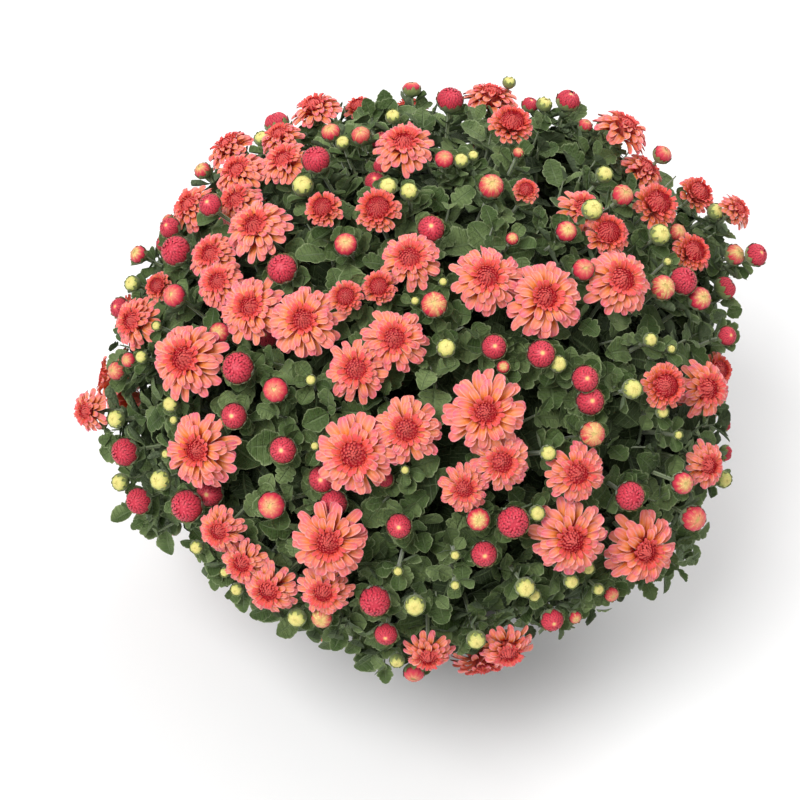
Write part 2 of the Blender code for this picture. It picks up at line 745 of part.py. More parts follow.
def build_pot(material):
    """A plain tapered pot with a banded rim and drain holes in its flat floor."""
    wall_top = POT_HEIGHT - RIM_BAND_HEIGHT
    neck = POT_RIM_RADIUS - RIM_BAND_OVERHANG - RIM_BAND_DRAFT
    profile = [
        (0.0, 0.0),
        (POT_FOOT_RADIUS - FOOT_CHAMFER, 0.0),
        (POT_FOOT_RADIUS, FOOT_CHAMFER),
        (neck, wall_top),
        (neck + RIM_BAND_OVERHANG, wall_top + LIP_ROUND),
        (POT_RIM_RADIUS, POT_HEIGHT - LIP_ROUND),
        (POT_RIM_RADIUS - LIP_ROUND, POT_HEIGHT),
        (POT_RIM_RADIUS - POT_WALL, POT_HEIGHT),
        (neck - POT_WALL, wall_top - POT_WALL),
        (POT_FOOT_RADIUS - POT_WALL, POT_FLOOR),
        (0.0, POT_FLOOR),
    ]
    rings = [circle(r, z, POT_SIDES) if r else [Vector((0, 0, z))] for r, z in profile]
    pot = new_object("pot", new_mesh("pot", *stacked_rings(rings)), material)
    for i in range(DRAIN_HOLES):
        angle = (i + 0.5) * 2 * math.pi / DRAIN_HOLES + math.pi / POT_SIDES
        middle = Vector((math.cos(angle), math.sin(angle), 0)) * DRAIN_CIRCLE_RADIUS
        rings = [circle(DRAIN_HOLE_RADIUS, z, DRAIN_HOLE_SIDES) for z in (-POT_FLOOR, 2 * POT_FLOOR)]
        hole = placed(stacked_rings(rings), Matrix.Translation(middle))
        cut_out(pot, f"drain_{i}", hole)
    pot.data.shade_smooth()
    pot.data.set_sharp_from_angle(angle=SHARP_ANGLE)
    return pot


def evaluated_mesh(body):
    """A body's mesh with its modifiers applied."""
    graph = bpy.context.evaluated_depsgraph_get()
    return bpy.data.meshes.new_from_object(body.evaluated_get(graph))


def cut_out(body, name, shape):
    """Cuts a shape from a body with a modifier whose cutter stays hidden."""
    cutter = new_object(f"cutter_{name}", new_mesh(name, *shape))
    cutter.hide_render = True
    cutter.display_type = "WIRE"
    cut = body.modifiers.new(name, "BOOLEAN")
    cut.operation = "DIFFERENCE"
    cut.object = cutter
    return cutter


def pot_inside_radius(z):
    """Radius of the pot's inner wall at a height."""
    top = POT_HEIGHT - RIM_BAND_HEIGHT - POT_WALL
    neck = POT_RIM_RADIUS - RIM_BAND_OVERHANG - RIM_BAND_DRAFT - POT_WALL
    foot = POT_FOOT_RADIUS - POT_WALL
    return foot + (neck - foot) * (z - POT_FLOOR) / (top - POT_FLOOR)


def build_soil(axes, material):
    """The root ball of potting soil, slightly crowned, with a plain hole for each stem."""
    soil_top = POT_HEIGHT - SOIL_BELOW_RIM
    foot = POT_FLOOR + SEAT_GAP
    rings = [circle(pot_inside_radius(z) - SIDE_GAP, z, POT_SIDES) for z in (foot, soil_top)]
    rings.append(circle(SOIL_CROWN_RADIUS, soil_top + SOIL_CROWN, POT_SIDES // 2))
    soil = new_object("potting_soil", new_mesh("potting_soil", *stacked_rings(rings)), material)
    for own in range(len(axes)):
        root = stem_root(own, axes)
        rings = [circle(STEM_RADIUS + SIDE_GAP, z, STEM_SIDES) for z in (soil_top - HOLE_DEPTH, POT_HEIGHT)]
        shape = placed(stacked_rings(rings), standing(root, Vector((0, 0, 1)), 0))
        cut_out(soil, f"stem_hole_{own}", shape)
    return soil


def cluster(trees):
    """Groups of numbers whose shapes touch each other."""
    group = list(range(len(trees)))
    for i in range(len(trees)):
        for j in range(i):
            if group[i] != group[j] and trees[i].overlap(trees[j]):
                old, new = group[i], group[j]
                group = [new if g == old else g for g in group]
    return [[i for i, g in enumerate(group) if g == number] for number in sorted(set(group))]


def build():
    for obj in list(bpy.data.objects):
        bpy.data.objects.remove(obj)
    petals = new_material("petals", (0.86, 0.22, 0.17), 0.55)
    foliage = new_material("foliage", (0.07, 0.15, 0.055), 0.6)
    plastic = new_material("pot_plastic", (0.06, 0.06, 0.065), 0.5)
    earth = new_material("potting_soil", (0.035, 0.024, 0.018), 0.95)

    axes = stem_axes()
    heads = all_heads()
    build_pot(plastic)
    build_soil(axes, earth)

    blooms = [
        placed(bloom_shape(h.width), standing(h.seat, h.axis, h.turn)) for h in heads if h.kind == "bloom"
    ]
    stems = [[] for _ in axes]
    for head in heads:
        own = share_of(head.seat, axes)
        stems[own].append(stalk_shape(head, own, axes))
    leaves = leaves_for(stems, blooms, axes)
    for own in range(len(axes)):
        name = "leafy_stem_top" if own == 0 else f"leafy_stem_{own}"
        shapes = [main_stem_shape(own, axes), *stems[own], *leaves[own]]
        fuse(name, [heart_mesh(name, own, axes), *meshes_of(name, shapes)], foliage)

    for number, members in enumerate(cluster([tree_of(shape) for shape in blooms])):
        name = f"bloom_{number + 1:02d}"
        fuse(name, meshes_of(name, [blooms[i] for i in members]), petals)


build()
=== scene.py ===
"""Pot chrysanthemum, dressed for the picture: fine petals, florets, bracts, leaves, stalks, soil and pot
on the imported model. Metres, +Z up, and the picture is taken from the -Y side.
"""

import json
import math
import random
from collections import namedtuple

import bpy
import numpy as np
from mathutils import Matrix, Vector

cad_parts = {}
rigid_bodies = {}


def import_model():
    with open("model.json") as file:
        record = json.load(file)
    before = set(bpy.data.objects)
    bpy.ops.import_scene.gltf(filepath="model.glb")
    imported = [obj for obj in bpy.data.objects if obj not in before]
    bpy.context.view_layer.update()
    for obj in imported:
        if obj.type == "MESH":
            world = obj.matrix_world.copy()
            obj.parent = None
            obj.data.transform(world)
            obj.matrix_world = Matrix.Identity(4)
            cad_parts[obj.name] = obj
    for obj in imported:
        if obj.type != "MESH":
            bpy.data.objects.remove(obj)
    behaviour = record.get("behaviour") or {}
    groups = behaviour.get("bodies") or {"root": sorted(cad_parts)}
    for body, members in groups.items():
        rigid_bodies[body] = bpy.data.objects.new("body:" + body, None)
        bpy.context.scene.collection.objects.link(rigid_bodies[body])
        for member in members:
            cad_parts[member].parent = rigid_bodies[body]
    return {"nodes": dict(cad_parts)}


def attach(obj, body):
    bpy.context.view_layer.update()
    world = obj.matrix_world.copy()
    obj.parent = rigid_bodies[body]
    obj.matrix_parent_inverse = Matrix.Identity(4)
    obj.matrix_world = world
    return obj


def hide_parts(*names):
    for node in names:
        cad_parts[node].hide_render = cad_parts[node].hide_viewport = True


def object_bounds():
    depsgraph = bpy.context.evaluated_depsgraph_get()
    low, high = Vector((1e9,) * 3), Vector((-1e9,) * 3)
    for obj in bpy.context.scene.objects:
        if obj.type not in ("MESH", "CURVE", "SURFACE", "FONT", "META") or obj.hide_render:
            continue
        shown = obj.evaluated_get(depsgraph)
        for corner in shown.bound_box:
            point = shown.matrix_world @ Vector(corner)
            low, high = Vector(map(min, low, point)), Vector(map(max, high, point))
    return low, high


for leftover in list(bpy.data.objects):
    bpy.data.objects.remove(leftover)
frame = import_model()
cad_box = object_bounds()


# Viewpoint
# The plant is seen from arm's length, looking down at half a right angle and a little more.
# Heads that the picture shows are placed along this camera's lines of sight, so it comes first.

VIEW_RISE = math.radians(50)
EYE_DISTANCE = 1.0
PICTURE_SIDE = 800
PICTURE_SPAN = 0.476
MIDDLE_ACROSS = 425
MIDDLE_DOWN = 380
SENSOR_WIDTH = 36.0
MOUND_MIDDLE = Vector((0.0, 0.0, 0.172))

BACK = Vector((0, -math.cos(VIEW_RISE), math.sin(VIEW_RISE)))
RIGHT = Vector((1, 0, 0))
UP = Vector((0, math.sin(VIEW_RISE), math.cos(VIEW_RISE)))
CENTRE = PICTURE_SIDE / 2
STEP = PICTURE_SPAN / PICTURE_SIDE
AIM = MOUND_MIDDLE - RIGHT * (MIDDLE_ACROSS - CENTRE) * STEP - UP * (CENTRE - MIDDLE_DOWN) * STEP
EYE = AIM + BACK * EYE_DISTANCE


def line_of_sight(across, down):
    """Direction from the eye to a place in the picture."""
    return -BACK + RIGHT * (across - CENTRE) * STEP + UP * (CENTRE - down) * STEP


def new_object(name, data):
    made = bpy.data.objects.new(name, data)
    bpy.context.scene.collection.objects.link(made)
    return made


camera = new_object("camera", bpy.data.cameras.new("camera"))
camera.data.sensor_width = SENSOR_WIDTH
camera.data.lens = SENSOR_WIDTH / PICTURE_SPAN
camera.matrix_world = Matrix.Translation(EYE) @ Matrix((RIGHT, UP, BACK)).transposed().to_4x4()
bpy.context.scene.camera = camera


# Studio
# A plain pale floor that runs out of sight, a wide soft lamp overhead on the left, and a paler one behind.
# The air round them is an even white, as under a bright overcast sky.

FLOOR_HALF = 6.0
FLOOR_SINK = 0.0003
FLOOR_GREY = (0.9, 0.9, 0.9, 1)
SKY_STRENGTH = 0.55
# Name, place, width and power of each lamp.
LAMPS = (("key", (-0.7, -0.8, 2.0), 1.0, 38.0), ("back", (0.9, 1.3, 1.5), 1.2, 20.0))

paper = bpy.data.materials.new("floor_paper")
paper.use_nodes = True
paper.node_tree.nodes["Principled BSDF"].inputs["Base Color"].default_value = FLOOR_GREY
paper.node_tree.nodes["Principled BSDF"].inputs["Roughness"].default_value = 0.9
sheet = bpy.data.meshes.new("floor")
corners = [(x * FLOOR_HALF, y * FLOOR_HALF, -FLOOR_SINK) for x, y in ((-1, -1), (1, -1), (1, 1), (-1, 1))]
sheet.from_pydata(corners, [], [(0, 1, 2, 3)])
sheet.materials.append(paper)
floor = new_object("floor", sheet)
for name, place, size, power in LAMPS:
    lamp = bpy.data.lights.new(name, "AREA")
    lamp.size = size
    lamp.energy = power
    stand = new_object(name, lamp)
    stand.location = place
    stand.rotation_euler = (MOUND_MIDDLE - Vector(place)).to_track_quat("-Z", "Y").to_euler()
sky = bpy.data.worlds.new("sky")
sky.use_nodes = True
sky.node_tree.nodes["Background"].inputs["Color"].default_value = (1, 1, 1, 1)
sky.node_tree.nodes["Background"].inputs["Strength"].default_value = SKY_STRENGTH
bpy.context.scene.world = sky
bpy.context.scene.view_settings.view_transform = "Standard"


# Pot
# A plain nursery pot, blow-moulded in dark plastic: a thin tapered wall, a stiff band at the rim,
# a flat foot with four drain holes. It stands under the plant and is hidden from the picture's side.

POT_HEIGHT = 0.150
POT_RIM_RADIUS = 0.102
POT_FOOT_RADIUS = 0.074
POT_WALL = 0.003
POT_FLOOR = 0.004
RIM_BAND_HEIGHT = 0.024
RIM_BAND_OVERHANG = 0.0035
RIM_BAND_DRAFT = 0.002
LIP_ROUND = 0.0012
FOOT_ROUND = 0.002
EDGE_ROUND = 0.0008
EDGE_STEPS = 3
EDGE_MOST = 0.45
FOOT_MIDDLE = 0.004
POT_SIDES = 96
POT_RIB_HEIGHTS = (0.030, 0.034, 0.112)
POT_RIB_DEPTH = 0.0005
POT_RIB_HALF = 0.0008
DRAIN_HOLES = 4
DRAIN_HOLE_RADIUS = 0.0060
DRAIN_CIRCLE_RADIUS = 0.047
DRAIN_TURN = math.radians(9)
DRAIN_SIDES = 24
SHARP_FROM = math.radians(35)
NOISE_SPREAD = (0.3, 0.7)
POT_BLACK = (0.020, 0.020, 0.022, 1)
POT_DUST = (0.085, 0.075, 0.062, 1)


def mesh_of(name, parts, materials):
    """An object from parts. Each part has points, faces in arrays by their number of corners, values on its
    points, and the number of its material."""
    starts = np.cumsum([0] + [len(points) for points, *_ in parts])
    points = np.concatenate([points for points, *_ in parts])
    corners, sizes, finish = [], [], []
    for (_, faces, _, material), start in zip(parts, starts):
        for same in faces:
            corners.append((same + start).ravel())
            sizes.append(np.full(len(same), same.shape[1]))
            finish.append(np.full(len(same), material))
    corners, sizes = np.concatenate(corners), np.concatenate(sizes)
    mesh = bpy.data.meshes.new(name)
    mesh.vertices.add(len(points))
    mesh.vertices.foreach_set("co", points.astype(np.float32).ravel())
    mesh.loops.add(len(corners))
    mesh.loops.foreach_set("vertex_index", corners.astype(np.int32))
    mesh.polygons.add(len(sizes))
    mesh.polygons.foreach_set("loop_start", (np.cumsum(sizes) - sizes).astype(np.int32))
    mesh.polygons.foreach_set("material_index", np.concatenate(finish).astype(np.int32))
    for key in parts[0][2]:
        value = mesh.attributes.new(key, "FLOAT", "POINT")
        value.data.foreach_set("value", np.concatenate([p[2][key] for p in parts]).astype(np.float32))
    mesh.update(calc_edges=True)
    mesh.shade_smooth()
    for material in materials:
        mesh.materials.append(material)
    return new_object(name, mesh)


def grid_faces(rows, columns, closed=False):
    """Four-cornered faces of a grid, row by row. A closed grid joins its last column to its first."""
    step = np.arange(columns if closed else columns - 1)
    ahead = (step + 1) % columns
    row = np.arange(rows - 1)[:, None] * columns
    corners = [row + step, row + ahead, row + columns + ahead, row + columns + step]
    return np.stack(corners, -1).reshape(-1, 4)


def turned(profile, sides):
    """Points and faces of a profile turned about the Z axis, closed at both ends by flat faces."""
    angle = np.arange(sides) * 2 * math.pi / sides
    profile = np.array(profile)
    ring = np.stack([np.cos(angle), np.sin(angle), np.ones(sides)], -1)
    points = profile[:, None, [0, 0, 1]] * ring[None]
    ends = [np.arange(sides)[::-1], np.arange(sides) + (len(profile) - 1) * sides]
    return points.reshape(-1, 3), [grid_faces(len(profile), sides, True), np.array(ends)]


def node_value(tree, kind, output, inputs=(), **settings):
    """One output of a new shader node. inputs gives each socket a number, a colour or a Value."""
    made = tree.nodes.new(kind)
    for key, value in settings.items():
        setattr(made, key, value)
    for socket, value in dict(inputs).items():
        if isinstance(value, Value):
            tree.links.new(value.socket, made.inputs[socket])
        else:
            made.inputs[socket].default_value = value
    return Value(made.outputs[output])


class Value:
    """A number or a colour that varies over a surface. What is worked out from it is a new shader node."""

    def __init__(self, socket):
        self.socket = socket

    def math(self, operation, *others):
        inputs = enumerate((self, *others))
        return node_value(self.socket.id_data, "ShaderNodeMath", 0, inputs, operation=operation)

    def __add__(self, other):
        return self.math("ADD", other)

    def __sub__(self, other):
        return self.math("SUBTRACT", other)

    def __mul__(self, other):
        return self.math("MULTIPLY", other)

    def __abs__(self):
        return self.math("ABSOLUTE")

    def or_more(self, other):
        return self.math("MAXIMUM", other)

    def stretch(self, low, high, out_low=0.0, out_high=1.0):
        """The value, spread from low..high to out_low..out_high and held at the ends."""
        inputs = {"Value": self, "From Min": low, "From Max": high, "To Min": out_low, "To Max": out_high}
        return node_value(self.socket.id_data, "ShaderNodeMapRange", "Result", inputs)

    def mix(self, first, second):
        """A colour that goes from first to second as the value goes from 0 to 1."""
        inputs = {"Factor": self, 6: first, 7: second}
        return node_value(self.socket.id_data, "ShaderNodeMix", 2, inputs, data_type="RGBA")


def new_group(name, inputs, output, pattern):
    """A node group with named inputs and one output, which pattern works out from the inputs."""
    tree = bpy.data.node_groups.new(name, "ShaderNodeTree")
    for key in inputs:
        tree.interface.new_socket(key, in_out="INPUT", socket_type="NodeSocketFloat")
    tree.interface.new_socket(output, in_out="OUTPUT", socket_type="NodeSocketFloat")
    enter = tree.nodes.new("NodeGroupInput")
    leave = tree.nodes.new("NodeGroupOutput")
    made = pattern(tree, *[Value(enter.outputs[key]) for key in inputs])
    tree.links.new(made.socket, leave.inputs[output])
    return tree


def noise(tree, where, scale, detail):
    inputs = {"Vector": where, "Scale": scale, "Detail": detail}
    return node_value(tree, "ShaderNodeTexNoise", "Fac", inputs).stretch(*NOISE_SPREAD)


def mottle(tree, scale, detail):
    """Cloudy patches over a surface, from 0 to 1, in the piece's own coordinates."""
    return noise(tree, node_value(tree, "ShaderNodeTexCoord", "Object"), scale, detail)


MOTTLE = new_group("mottle", ("Scale", "Detail"), "Patches", mottle)


class Skin:
    """A new material with its shader, and the settings that are the same all over the surface."""

    def __init__(self, name, **fixed):
        self.material = bpy.data.materials.new(name)
        self.material.use_nodes = True
        self.tree = self.material.node_tree
        self.shader = self.tree.nodes["Principled BSDF"]
        for key, value in fixed.items():
            self.shader.inputs[key.replace("_", " ")].default_value = value

    def read(self, *names):
        """The values of these names on the mesh."""
        return [node_value(self.tree, "ShaderNodeAttribute", "Fac", attribute_name=name) for name in names]

    def behind(self):
        """1 on the back of a face, and 0 on its front."""
        return node_value(self.tree, "ShaderNodeNewGeometry", "Backfacing")

    def patches(self, scale, detail=3.0):
        inputs = {"Scale": scale, "Detail": detail}
        return node_value(self.tree, "ShaderNodeGroup", "Patches", inputs, node_tree=MOTTLE)

    def feed(self, socket, value):
        self.tree.links.new(value.socket, self.shader.inputs[socket])

    def raise_surface(self, height, distance, strength=1.0):
        """Feeds a bump of a height pattern to the shader."""
        inputs = {"Height": height, "Distance": distance, "Strength": strength}
        self.feed("Normal", node_value(self.tree, "ShaderNodeBump", "Normal", inputs))


def pot_plastic():
    """Matt black plastic with a fine orange-peel skin, dusted where soil and water have run."""
    skin = Skin("pot_plastic", Specular_IOR_Level=0.4)
    dust = skin.patches(38.0, 6.0) * skin.patches(9.0)
    skin.feed("Base Color", dust.mix(POT_BLACK, POT_DUST))
    skin.feed("Roughness", dust.stretch(0, 1, 0.38, 0.75))
    skin.raise_surface(skin.patches(900.0, 2.0), 0.0002, 0.35)
    return skin.material


def rounded(profile):
    """A profile with each of its inner corners cut back and rounded."""
    profile = [np.array(point, float) for point in profile]
    made = [profile[0]]
    for before, corner, after in zip(profile, profile[1:], profile[2:]):
        back, ahead = before - corner, after - corner
        cut = min(EDGE_ROUND, EDGE_MOST * np.linalg.norm(back), EDGE_MOST * np.linalg.norm(ahead))
        start = corner + back / np.linalg.norm(back) * cut
        end = corner + ahead / np.linalg.norm(ahead) * cut
        for share in np.linspace(0, 1, EDGE_STEPS):
            made.append((1 - share) ** 2 * start + 2 * share * (1 - share) * corner + share ** 2 * end)
    return [*made, profile[-1]]


def pot_profile():
    """Half of the pot's section, from under its middle, up the outside and down the inside."""
    wall_top = POT_HEIGHT - RIM_BAND_HEIGHT
    neck = POT_RIM_RADIUS - RIM_BAND_OVERHANG - RIM_BAND_DRAFT
    foot = POT_FOOT_RADIUS
    profile = [(FOOT_MIDDLE, 0), (foot - FOOT_ROUND, 0), (foot, FOOT_ROUND)]
    for height in POT_RIB_HEIGHTS:
        wall = foot + (neck - foot) * ((height - FOOT_ROUND) / (wall_top - FOOT_ROUND))
        groove = (wall - POT_RIB_DEPTH, height + POT_RIB_HALF)
        profile.extend([(wall, height), groove, (wall, height + 2 * POT_RIB_HALF)])
    profile.extend([
        (neck, wall_top), (neck + RIM_BAND_OVERHANG, wall_top + LIP_ROUND),
        (POT_RIM_RADIUS, POT_HEIGHT - LIP_ROUND), (POT_RIM_RADIUS - LIP_ROUND, POT_HEIGHT),
        (POT_RIM_RADIUS - POT_WALL, POT_HEIGHT), (neck - POT_WALL, wall_top - POT_WALL),
        (foot - POT_WALL, POT_FLOOR), (FOOT_MIDDLE, POT_FLOOR),
    ])
    return rounded(profile)


pot = mesh_of("moulded_pot", [(*turned(pot_profile(), POT_SIDES), {}, 0)], [pot_plastic()])
drills = []
drill_ends = (-POT_FLOOR, 2 * POT_FLOOR)
for i in range(DRAIN_HOLES):
    angle = (i + 0.5) * 2 * math.pi / DRAIN_HOLES + DRAIN_TURN
    points, faces = turned([(DRAIN_HOLE_RADIUS, end) for end in drill_ends], DRAIN_SIDES)
    points = points + [DRAIN_CIRCLE_RADIUS * math.cos(angle), DRAIN_CIRCLE_RADIUS * math.sin(angle), 0]
    drills.append(mesh_of(f"drain_{i}", [(points, faces, {}, 0)], []))
    pot.modifiers.new("drain", "BOOLEAN").object = drills[-1]
drilled = bpy.data.meshes.new_from_object(pot.evaluated_get(bpy.context.evaluated_depsgraph_get()))
pot.modifiers.clear()
pot.data = drilled
pot.data.name = pot.name
pot.data.set_sharp_from_angle(angle=SHARP_FROM)
for drill in drills:
    bpy.data.objects.remove(drill)
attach(pot, "root")
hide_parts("pot")


# Potting soil
# Peat and bark, damp and crumbly, pressed into the pot to a finger's width below its rim.
# White grains of perlite lie in it. The stems grow out of it.

SOIL_TOP = POT_HEIGHT - 0.016
SOIL_CROWN = 0.003
SOIL_GAP = 0.0005
SOIL_RINGS = 26
SOIL_SIDES = 96
SOIL_LUMPS = 0.0011
CRUMB_PROFILE = [(0.02, -1), (0.8, -0.6), (1, 0.1), (0.7, 0.7), (0.02, 1)]
CRUMB_MARGIN = 0.004
CRUMB_LUMPS = 0.3
CRUMB_SQUASH = (0.6, 1.2)
CRUMBS = 170
CRUMB_SIZES = (0.0008, 0.0026)
PERLITE_GRAINS = 46
PERLITE_SIZES = (0.0010, 0.0020)
PEAT_DARK = (0.010, 0.0065, 0.0045, 1)
PEAT_BROWN = (0.060, 0.036, 0.022, 1)
PERLITE_WHITE = (0.62, 0.60, 0.55, 1)


def peat_material():
    skin = Skin("damp_peat", Roughness=0.92, Specular_IOR_Level=0.25)
    skin.feed("Base Color", skin.patches(420.0, 8.0).mix(PEAT_DARK, PEAT_BROWN))
    skin.raise_surface(skin.patches(700.0, 5.0), 0.0008)
    return skin.material


def perlite_material():
    skin = Skin("perlite", Roughness=0.9)
    skin.feed("Base Color", skin.patches(300.0).stretch(0, 1, 0, 0.45).mix(PERLITE_WHITE, PEAT_BROWN))
    skin.raise_surface(skin.patches(1500.0), 0.0003)
    return skin.material


def pot_inside(height):
    """Inner radius of the pot at a height."""
    top = POT_HEIGHT - RIM_BAND_HEIGHT - POT_WALL
    neck = POT_RIM_RADIUS - RIM_BAND_OVERHANG - RIM_BAND_DRAFT - POT_WALL
    foot = POT_FOOT_RADIUS - POT_WALL
    return foot + (neck - foot) * (height - POT_FLOOR) / (top - POT_FLOOR)


def crumb_parts(rng, count, sizes, material):
    """Small lumps scattered on the soil, each a knocked-about ball half sunk in it."""
    ball_points, ball_faces = turned(CRUMB_PROFILE, 6)
    parts = []
    for _ in range(count):
        far = (pot_inside(SOIL_TOP) - CRUMB_MARGIN) * math.sqrt(rng.random())
        angle = rng.uniform(0, 2 * math.pi)
        lumps = 1 + CRUMB_LUMPS * rng.standard_normal((len(ball_points), 1))
        squash = rng.uniform(*CRUMB_SQUASH, 3) * rng.uniform(*sizes)
        height = SOIL_TOP + SOIL_CROWN * (1 - (far / pot_inside(SOIL_TOP)) ** 2)
        centre = np.array([far * math.cos(angle), far * math.sin(angle), height])
        parts.append((ball_points * lumps * squash + centre, ball_faces, {}, material))
    return parts


soil_rng = np.random.default_rng(3)
outside = pot_inside(SOIL_TOP) - SOIL_GAP
profile = [(0.003, POT_FLOOR + SOIL_GAP), (pot_inside(POT_FLOOR) - SOIL_GAP, POT_FLOOR + SOIL_GAP)]
for share in np.linspace(1, 0.03, SOIL_RINGS):
    profile.append((outside * share, SOIL_TOP + SOIL_CROWN * (1 - share ** 2)))
points, faces = turned(profile, SOIL_SIDES)
top = points[:, 2] > SOIL_TOP + 1e-5
points[top, 2] += soil_rng.normal(0, SOIL_LUMPS, top.sum())
crumbs = crumb_parts(soil_rng, CRUMBS, CRUMB_SIZES, 0)
grains = crumb_parts(soil_rng, PERLITE_GRAINS, PERLITE_SIZES, 1)
lumps = [(points, faces, {}, 0), *crumbs, *grains]
soil = mesh_of("crumbly_soil", lumps, [peat_material(), perlite_material()])
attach(soil, "root")
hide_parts("potting_soil")


# Where the heads stand
# Each flower head and bud grew at the end of its own stalk, so its place, heading and size are settled
# first. Seen ones lie where the picture shows them. The rest of the mound is filled by a rule.

MOUND_RADIUS = 0.180
MOUND_RISE = 0.155
MOUND_DROP = 0.105
TUCK_STEP = 0.009
LOWEST_HEAD = 0.098
# How much a head turns to the eye, by how far down the picture it is, and how much more a closed one does
LEANS_TO_EYE = ((100, 0.25), (250, 0.5), (400, 0.8), (560, 0.8), (640, 0.3))
CLOSED_LEAN = 0.35
LEAN_UP = Vector((0, 0, 0.35))
CROWN = Vector((0.0, 0.0, 0.150))
RING_STEMS = 6
RING_START = math.radians(30)
RING_RISE = math.radians(20)

Head = namedtuple("Head", "kind across down width tuck", defaults=(0,))
Placed = namedtuple("Placed", "kind seat axis width turn")

# Heads by kind: across, down and width in the picture's own units, and how deep each tucked one is.
SEEN_HEADS = {
    "bloom": [
        (316, 110, 50), (230, 149, 50, 0.1), (281, 138, 44, 0.2), (240, 174, 54, 0.2), (285, 163, 52, 0.1),
        (193, 208, 52, 0.7), (238, 203, 50, 0.7), (257, 229, 64, 0.1), (213, 256, 52, 0.2),
        (220, 283, 50, 0.2), (252, 309, 66, 0.1), (305, 322, 74, 0.1), (136, 322, 52), (188, 360, 76),
        (90, 411, 44), (201, 450, 76), (404, 147, 60), (491, 100, 58, 0.8), (622, 131, 60),
        (643, 172, 48, 0.1), (736, 211, 38), (582, 211, 50, 1.2), (619, 282, 68), (487, 279, 68),
        (544, 300, 80, 0.2), (410, 260, 60), (395, 340, 64), (357, 370, 62, 0.2), (355, 454, 80),
        (407, 430, 68, 0.2), (485, 413, 82), (501, 462, 60, 0.1), (464, 488, 50, 0.1), (576, 473, 60),
        (570, 538, 76, 0.2), (642, 549, 74), (330, 541, 76), (325, 590, 54, 0.2), (271, 588, 56),
        (244, 562, 48, 0.1), (221, 530, 48), (428, 652, 50), (507, 647, 54), (704, 389, 58, 0.5),
        (706, 465, 46),
    ],
    "young": [
        (359, 107, 30, 1), (346, 297, 34, -0.3), (158, 286, 28), (378, 209, 44), (323, 208, 36),
        (379, 287, 34), (512, 123, 42), (657, 204, 44), (698, 193, 38), (693, 252, 38), (608, 233, 42),
        (665, 386, 44), (718, 370, 34, 2), (526, 190, 26),
    ],
    "ball": [
        (316, 160, 27, -0.5), (210, 205, 22, -1.3), (170, 228, 20), (176, 251, 29), (282, 269, 29),
        (382, 142, 20, 1.5), (375, 182, 20, 1.5), (450, 100, 25), (568, 101, 23), (530, 105, 16, 1.5),
        (431, 229, 26), (683, 281, 27), (267, 336, 22, 2.5), (238, 368, 31), (283, 450, 26), (125, 452, 26),
        (139, 501, 25), (187, 506, 31), (210, 493, 26, 1.5), (322, 479, 26, 1.5), (334, 503, 26, 1.5),
        (513, 522, 31), (541, 354, 27), (585, 379, 26), (590, 401, 27, 0.6), (630, 496, 28), (375, 601, 30),
        (234, 416, 25), (120, 308, 20), (756, 255, 22), (727, 336, 18), (552, 620, 22), (386, 634, 22),
        (399, 526, 24), (484, 554, 25), (494, 347, 24),
    ],
    "bud": [
        (491, 187, 24), (434, 305, 25), (276, 390, 24), (175, 296, 22), (203, 171, 16), (139, 255, 17),
        (331, 133, 18), (361, 136, 18), (444, 160, 18), (585, 126, 14), (622, 196, 21), (566, 232, 20),
        (734, 255, 20), (662, 288, 24), (699, 299, 22), (583, 270, 21), (220, 333, 20, 1), (117, 371, 17),
        (129, 360, 14), (272, 505, 26), (478, 519, 22), (592, 434, 24), (682, 483, 21), (693, 518, 24),
        (346, 245, 22), (414, 672, 20), (611, 594, 14), (677, 233, 17), (322, 617, 20),
    ],
    "green": [
        (303, 186, 20), (388, 187, 17, -0.6), (409, 192, 17), (592, 210, 20, -0.8), (659, 235, 20),
        (117, 419, 17), (121, 482, 17), (161, 480, 20), (446, 348, 18), (632, 389, 19), (415, 605, 20),
        (297, 617, 18), (525, 587, 19), (476, 639, 18),
    ],
}
SMALL_HEADS = {
    "green": [
        (262, 139, 14), (133, 284, 15), (157, 326, 9), (343, 143, 13), (393, 117, 14), (461, 161, 14),
        (509, 83, 12), (544, 105, 15), (604, 175, 16), (715, 212, 16), (142, 357, 12), (171, 404, 15),
        (558, 364, 16), (548, 453, 15), (723, 479, 16), (537, 513, 15), (397, 660, 14), (197, 547, 13),
        (237, 589, 12), (534, 595, 12), (571, 581, 14), (588, 568, 12), (598, 589, 11), (662, 412, 12),
        (650, 340, 13), (311, 380, 10), (473, 156, 10), (443, 282, 8), (415, 301, 8), (667, 262, 8),
        (174, 420, 8), (166, 454, 8), (315, 446, 8), (405, 470, 8), (671, 349, 8), (678, 435, 8),
        (398, 571, 9), (225, 572, 9), (455, 555, 9), (455, 585, 9),
    ],
    "bud": [
        (662, 155, 18), (575, 617, 12), (518, 153, 10), (512, 239, 12), (503, 367, 12),
    ],
    "ball": [
        (165, 243, 18, 1), (381, 166, 15, 1), (385, 479, 16, 1),
    ],
}

GOLDEN_ANGLE = math.pi * (3 - math.sqrt(5))
PAIR_STEPS = 30
FILL_STEPS = 64
FILL_KINDS = ("bud", "ball", "green", "young", "ball", "bud")
SMALL_KINDS = FILL_KINDS[:3]
MIDDLE_HEIGHTS = {"bloom": 0.35, "young": 0.7, "ball": 0.9, "bud": 0.9, "green": 0.9}
USUAL_WIDTHS = {"bloom": 0.037, "young": 0.022, "ball": 0.014, "bud": 0.011, "green": 0.009}
WIDTH_RANGE = (0.92, 1.06)
PAIR_REACH = 0.33
HIDDEN_ABOVE = 0.1
HIDDEN_BELOW = -0.3
HIDDEN_CLEAR = 0.56
SMALL_STEPS = 150
SMALL_WIDTHS = (0.006, 0.011)
SMALL_STRAY = 0.008
SMALL_CLEAR = 0.75


